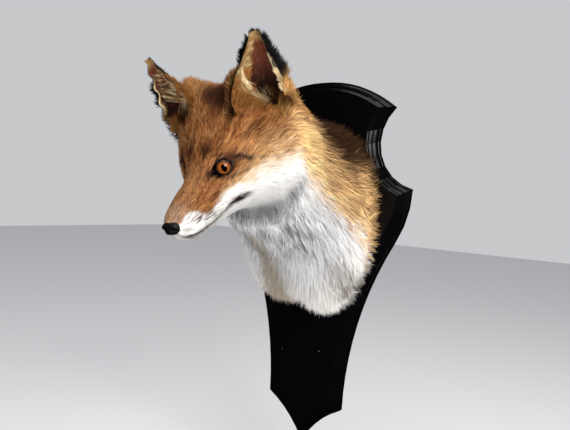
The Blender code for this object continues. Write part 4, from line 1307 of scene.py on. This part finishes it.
def earTone(count, most):
    return np.clip(1 + chance.normal(0, 0.30, count), 0.3, most)[:, None]


def strandColours(count, name, paintedRootShadow):
    tone, base = earTone(count, 1.6), evenShade(name, count)
    # painted shade: the root is darkened by this share, for the shade deep in the fur
    return np.stack([base * paintedRootShadow, base * tone, base * tone], 1)


def earLocks(side, count, face, tSpan, wSpan, heading, lift, lengths, width, rootShade, tipShade):
    t, w = chance.uniform(*tSpan, count), chance.uniform(*wSpan, count)
    point, normal, alongT, alongW = earFrame(side, t, w)
    out = normal * face
    bunch = np.floor(t * 9) * 5 + np.floor(w * 7)    # locks near one another stray together
    lean = np.sin(bunch * 12.9898) * 16 + chance.normal(0, 9, count)
    lean = np.radians(heading + lean)
    up = unit(alongT)
    acrossLeaf = unit(alongW - up * np.sum(alongW * up, -1, keepdims=True))
    lie = up * np.cos(lean)[:, None] + acrossLeaf * np.sin(lean)[:, None]
    length = np.interp(t, tSpan, lengths) * chance.uniform(0.65, 1.2, count)
    rise = np.radians(lift + chance.normal(0, 8, count))
    start = point + out * (ears["leaf"] / 2 - 0.5)
    steep, flat = (lie * np.cos(rise)[:, None] + out * np.sin(rise * k)[:, None] for k in (1.25, 0.6))
    middle = start + steep * length[:, None] * 0.5
    end = middle + flat * length[:, None] * 0.5
    root = evenShade(rootShade, count)
    if face < 0:
        low = np.where(w > 0.1, smooth(0.52, 0.34, t + 0.03 * np.sin(bunch)), smooth(0.70, 0.52, t))
        low = low * (rootShade == "earBlack")
        root = blend(root, "earRoot", low * np.where(w > 0.1, 0.45, 0.8))
        root = blend(root, "earGold", low * np.where(w > 0.1, 0.5, 0.0))
    tip = root if tipShade == rootShade else evenShade(tipShade, count)
    tone = earTone(count, 1.8)
    # painted shade: the root joint is half as bright, for the shade deep in the ear's fur
    colours = np.stack([root * 0.5, (root + tip) / 2 * tone, tip * tone], 1)
    return np.stack([start, middle, end], 1), out, width * chance.uniform(0.7, 1.2, count), colours, t, w


def earBand(side, count, begin, finish, height, width, colourName):
    t0, w0 = begin[0] + chance.normal(0, 0.035, count), begin[1] + chance.normal(0, 0.05, count)
    t1, w1 = finish[0] + chance.normal(0, 0.03, count), finish[1] + chance.normal(0, 0.10, count)
    share = chance.uniform(0.6, 1.0, count)
    places = []
    for k in (0.0, 0.5, 1.0):
        t, w = t0 + (t1 - t0) * k * share, np.clip(w0 + (w1 - w0) * k * share, -1.0, 1.0)
        point, normal, _, _ = earFrame(side, t, w)
        lifted = 0.3 + height * (k > 0) * (0.6 + 0.8 * chance.uniform(0, 1, count))
        places.append(point + normal * lifted[:, None])
    colours = strandColours(count, colourName, 0.8)
    return np.stack(places, 1), normal, width * chance.uniform(0.6, 1.2, count), colours, t0, w0


def lipStrands(side, count, places, spread, width, colourName):
    flip = mirror(hands[side])
    stray = chance.normal(0, spread, (count, 1, 3)) + chance.normal(0, 0.3 * spread, (count, 3, 3))
    path = onHead((np.array(places) + stray) * flip)
    out = onHead(np.array([-0.3, 0.75, 0.6]) * flip) - onHead(np.zeros(3))
    colours = strandColours(count, colourName, 0.6)
    root = np.full(count, 0.1), chance.uniform(-0.6, 0.4, count)
    return path, np.tile(unit(out), (count, 1)), width * chance.uniform(0.6, 1.2, count), colours, *root


def buildEarCoat(side):
    made = [earLocks(side, *group) for group in earCoat[side]]
    made += [earBand(side, *band) for band in earCoat["bands"][side]]
    made += [lipStrands(side, *lip) for lip in earCoat["lips"][side]]
    path, out, width, colours, t, w = (np.concatenate(parts) for parts in zip(*made))
    rootMap = onMap((np.clip(w, -1, 1) + 1) / 2, t)
    mesh = locksMesh("coatEar_" + side, path, out, width, np.clip(colours, 0, 0.95), rootMap)
    finishedObject("coatEar_" + side, mesh, furMaterial)
    print("coatEar_" + side, len(path), "locks", len(mesh.polygons), "triangles")


for sideName in hands:
    buildEarCoat(sideName)

# plaque and pins keep their solids and get a finish only
for nodeName, finish in (("plaque", lacquerMaterial), ("pin_left", pinMaterial), ("pin_right", pinMaterial)):
    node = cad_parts[nodeName]
    node.data.materials.clear()
    node.data.materials.append(finish)

studio = {
    "place": (0.36336, -0.59100, 0.08250), "azimuth": 35.0, "down": 2.05, "roll": 3.5, "lens": 34.6,
    "lights": (
        ("key", (1.15, -0.62, 0.52), 0.85, 21.0, (1.0, 0.98, 0.95), True),
        ("fill", (0.45, -1.2, -0.12), 0.9, 11.0, (0.95, 0.97, 1.0), False),
        ("top", (0.1, -0.35, 1.1), 0.8, 6.0, (1.0, 1.0, 1.0), True),
    ),
    "litPlace": (0.0, -0.15, 0.05),
    "floor": -0.30,
}


def buildFloor():
    work = bmesh.new()
    bmesh.ops.create_grid(work, x_segments=1, y_segments=1, size=4.0)
    bmesh.ops.translate(work, verts=work.verts[:], vec=(0, 0, studio["floor"]))
    floorMaterial, _ = plainMaterial("paleFloor", (0.72, 0.72, 0.73), 0.9)
    mesh = bpy.data.meshes.new("floor")
    work.to_mesh(mesh)
    work.free()
    mesh.materials.append(floorMaterial)
    floor = bpy.data.objects.new("floor", mesh)
    bpy.context.scene.collection.objects.link(floor)
    floor.visible_glossy = False


def buildLights():
    for name, place, size, power, colour, shows in studio["lights"]:
        lamp = bpy.data.lights.new(name, "AREA")
        lamp.size, lamp.energy, lamp.color = size, power, colour
        holder = bpy.data.objects.new(name, lamp)
        holder.location = place
        aim = Vector(studio["litPlace"]) - Vector(place)
        holder.rotation_euler = aim.to_track_quat("-Z", "Y").to_euler()
        holder.visible_glossy = shows    # a light that doesn't show leaves the lacquer black
        bpy.context.scene.collection.objects.link(holder)


def buildRoom():
    world = bpy.data.worlds.new("paleRoom")
    world.use_nodes = True
    world.node_tree.nodes["Background"].inputs["Color"].default_value = (0.80, 0.81, 0.83, 1.0)
    world.node_tree.nodes["Background"].inputs["Strength"].default_value = 0.72
    world.cycles_visibility.glossy = False
    bpy.context.scene.world = world
    bpy.context.scene.view_settings.view_transform = "Standard"


def buildCamera():
    lens = bpy.data.cameras.new("camera")
    lens.sensor_width, lens.lens, lens.clip_start = 36.0, studio["lens"], 0.01
    camera = bpy.data.objects.new("camera", lens)
    camera.location = studio["place"]
    camera.rotation_mode = "XYZ"
    turn = (Vector((0, 0, 1)), math.radians(studio["azimuth"]))
    aim = Quaternion(*turn) @ Quaternion((1, 0, 0), math.radians(90 - studio["down"]))
    aim = aim @ Quaternion((0, 0, 1), math.radians(studio["roll"]))
    camera.rotation_euler = aim.to_euler("XYZ")
    bpy.context.scene.collection.objects.link(camera)
    bpy.context.scene.camera = camera


buildFloor()
buildLights()
buildRoom()
buildCamera()
print("studio made")
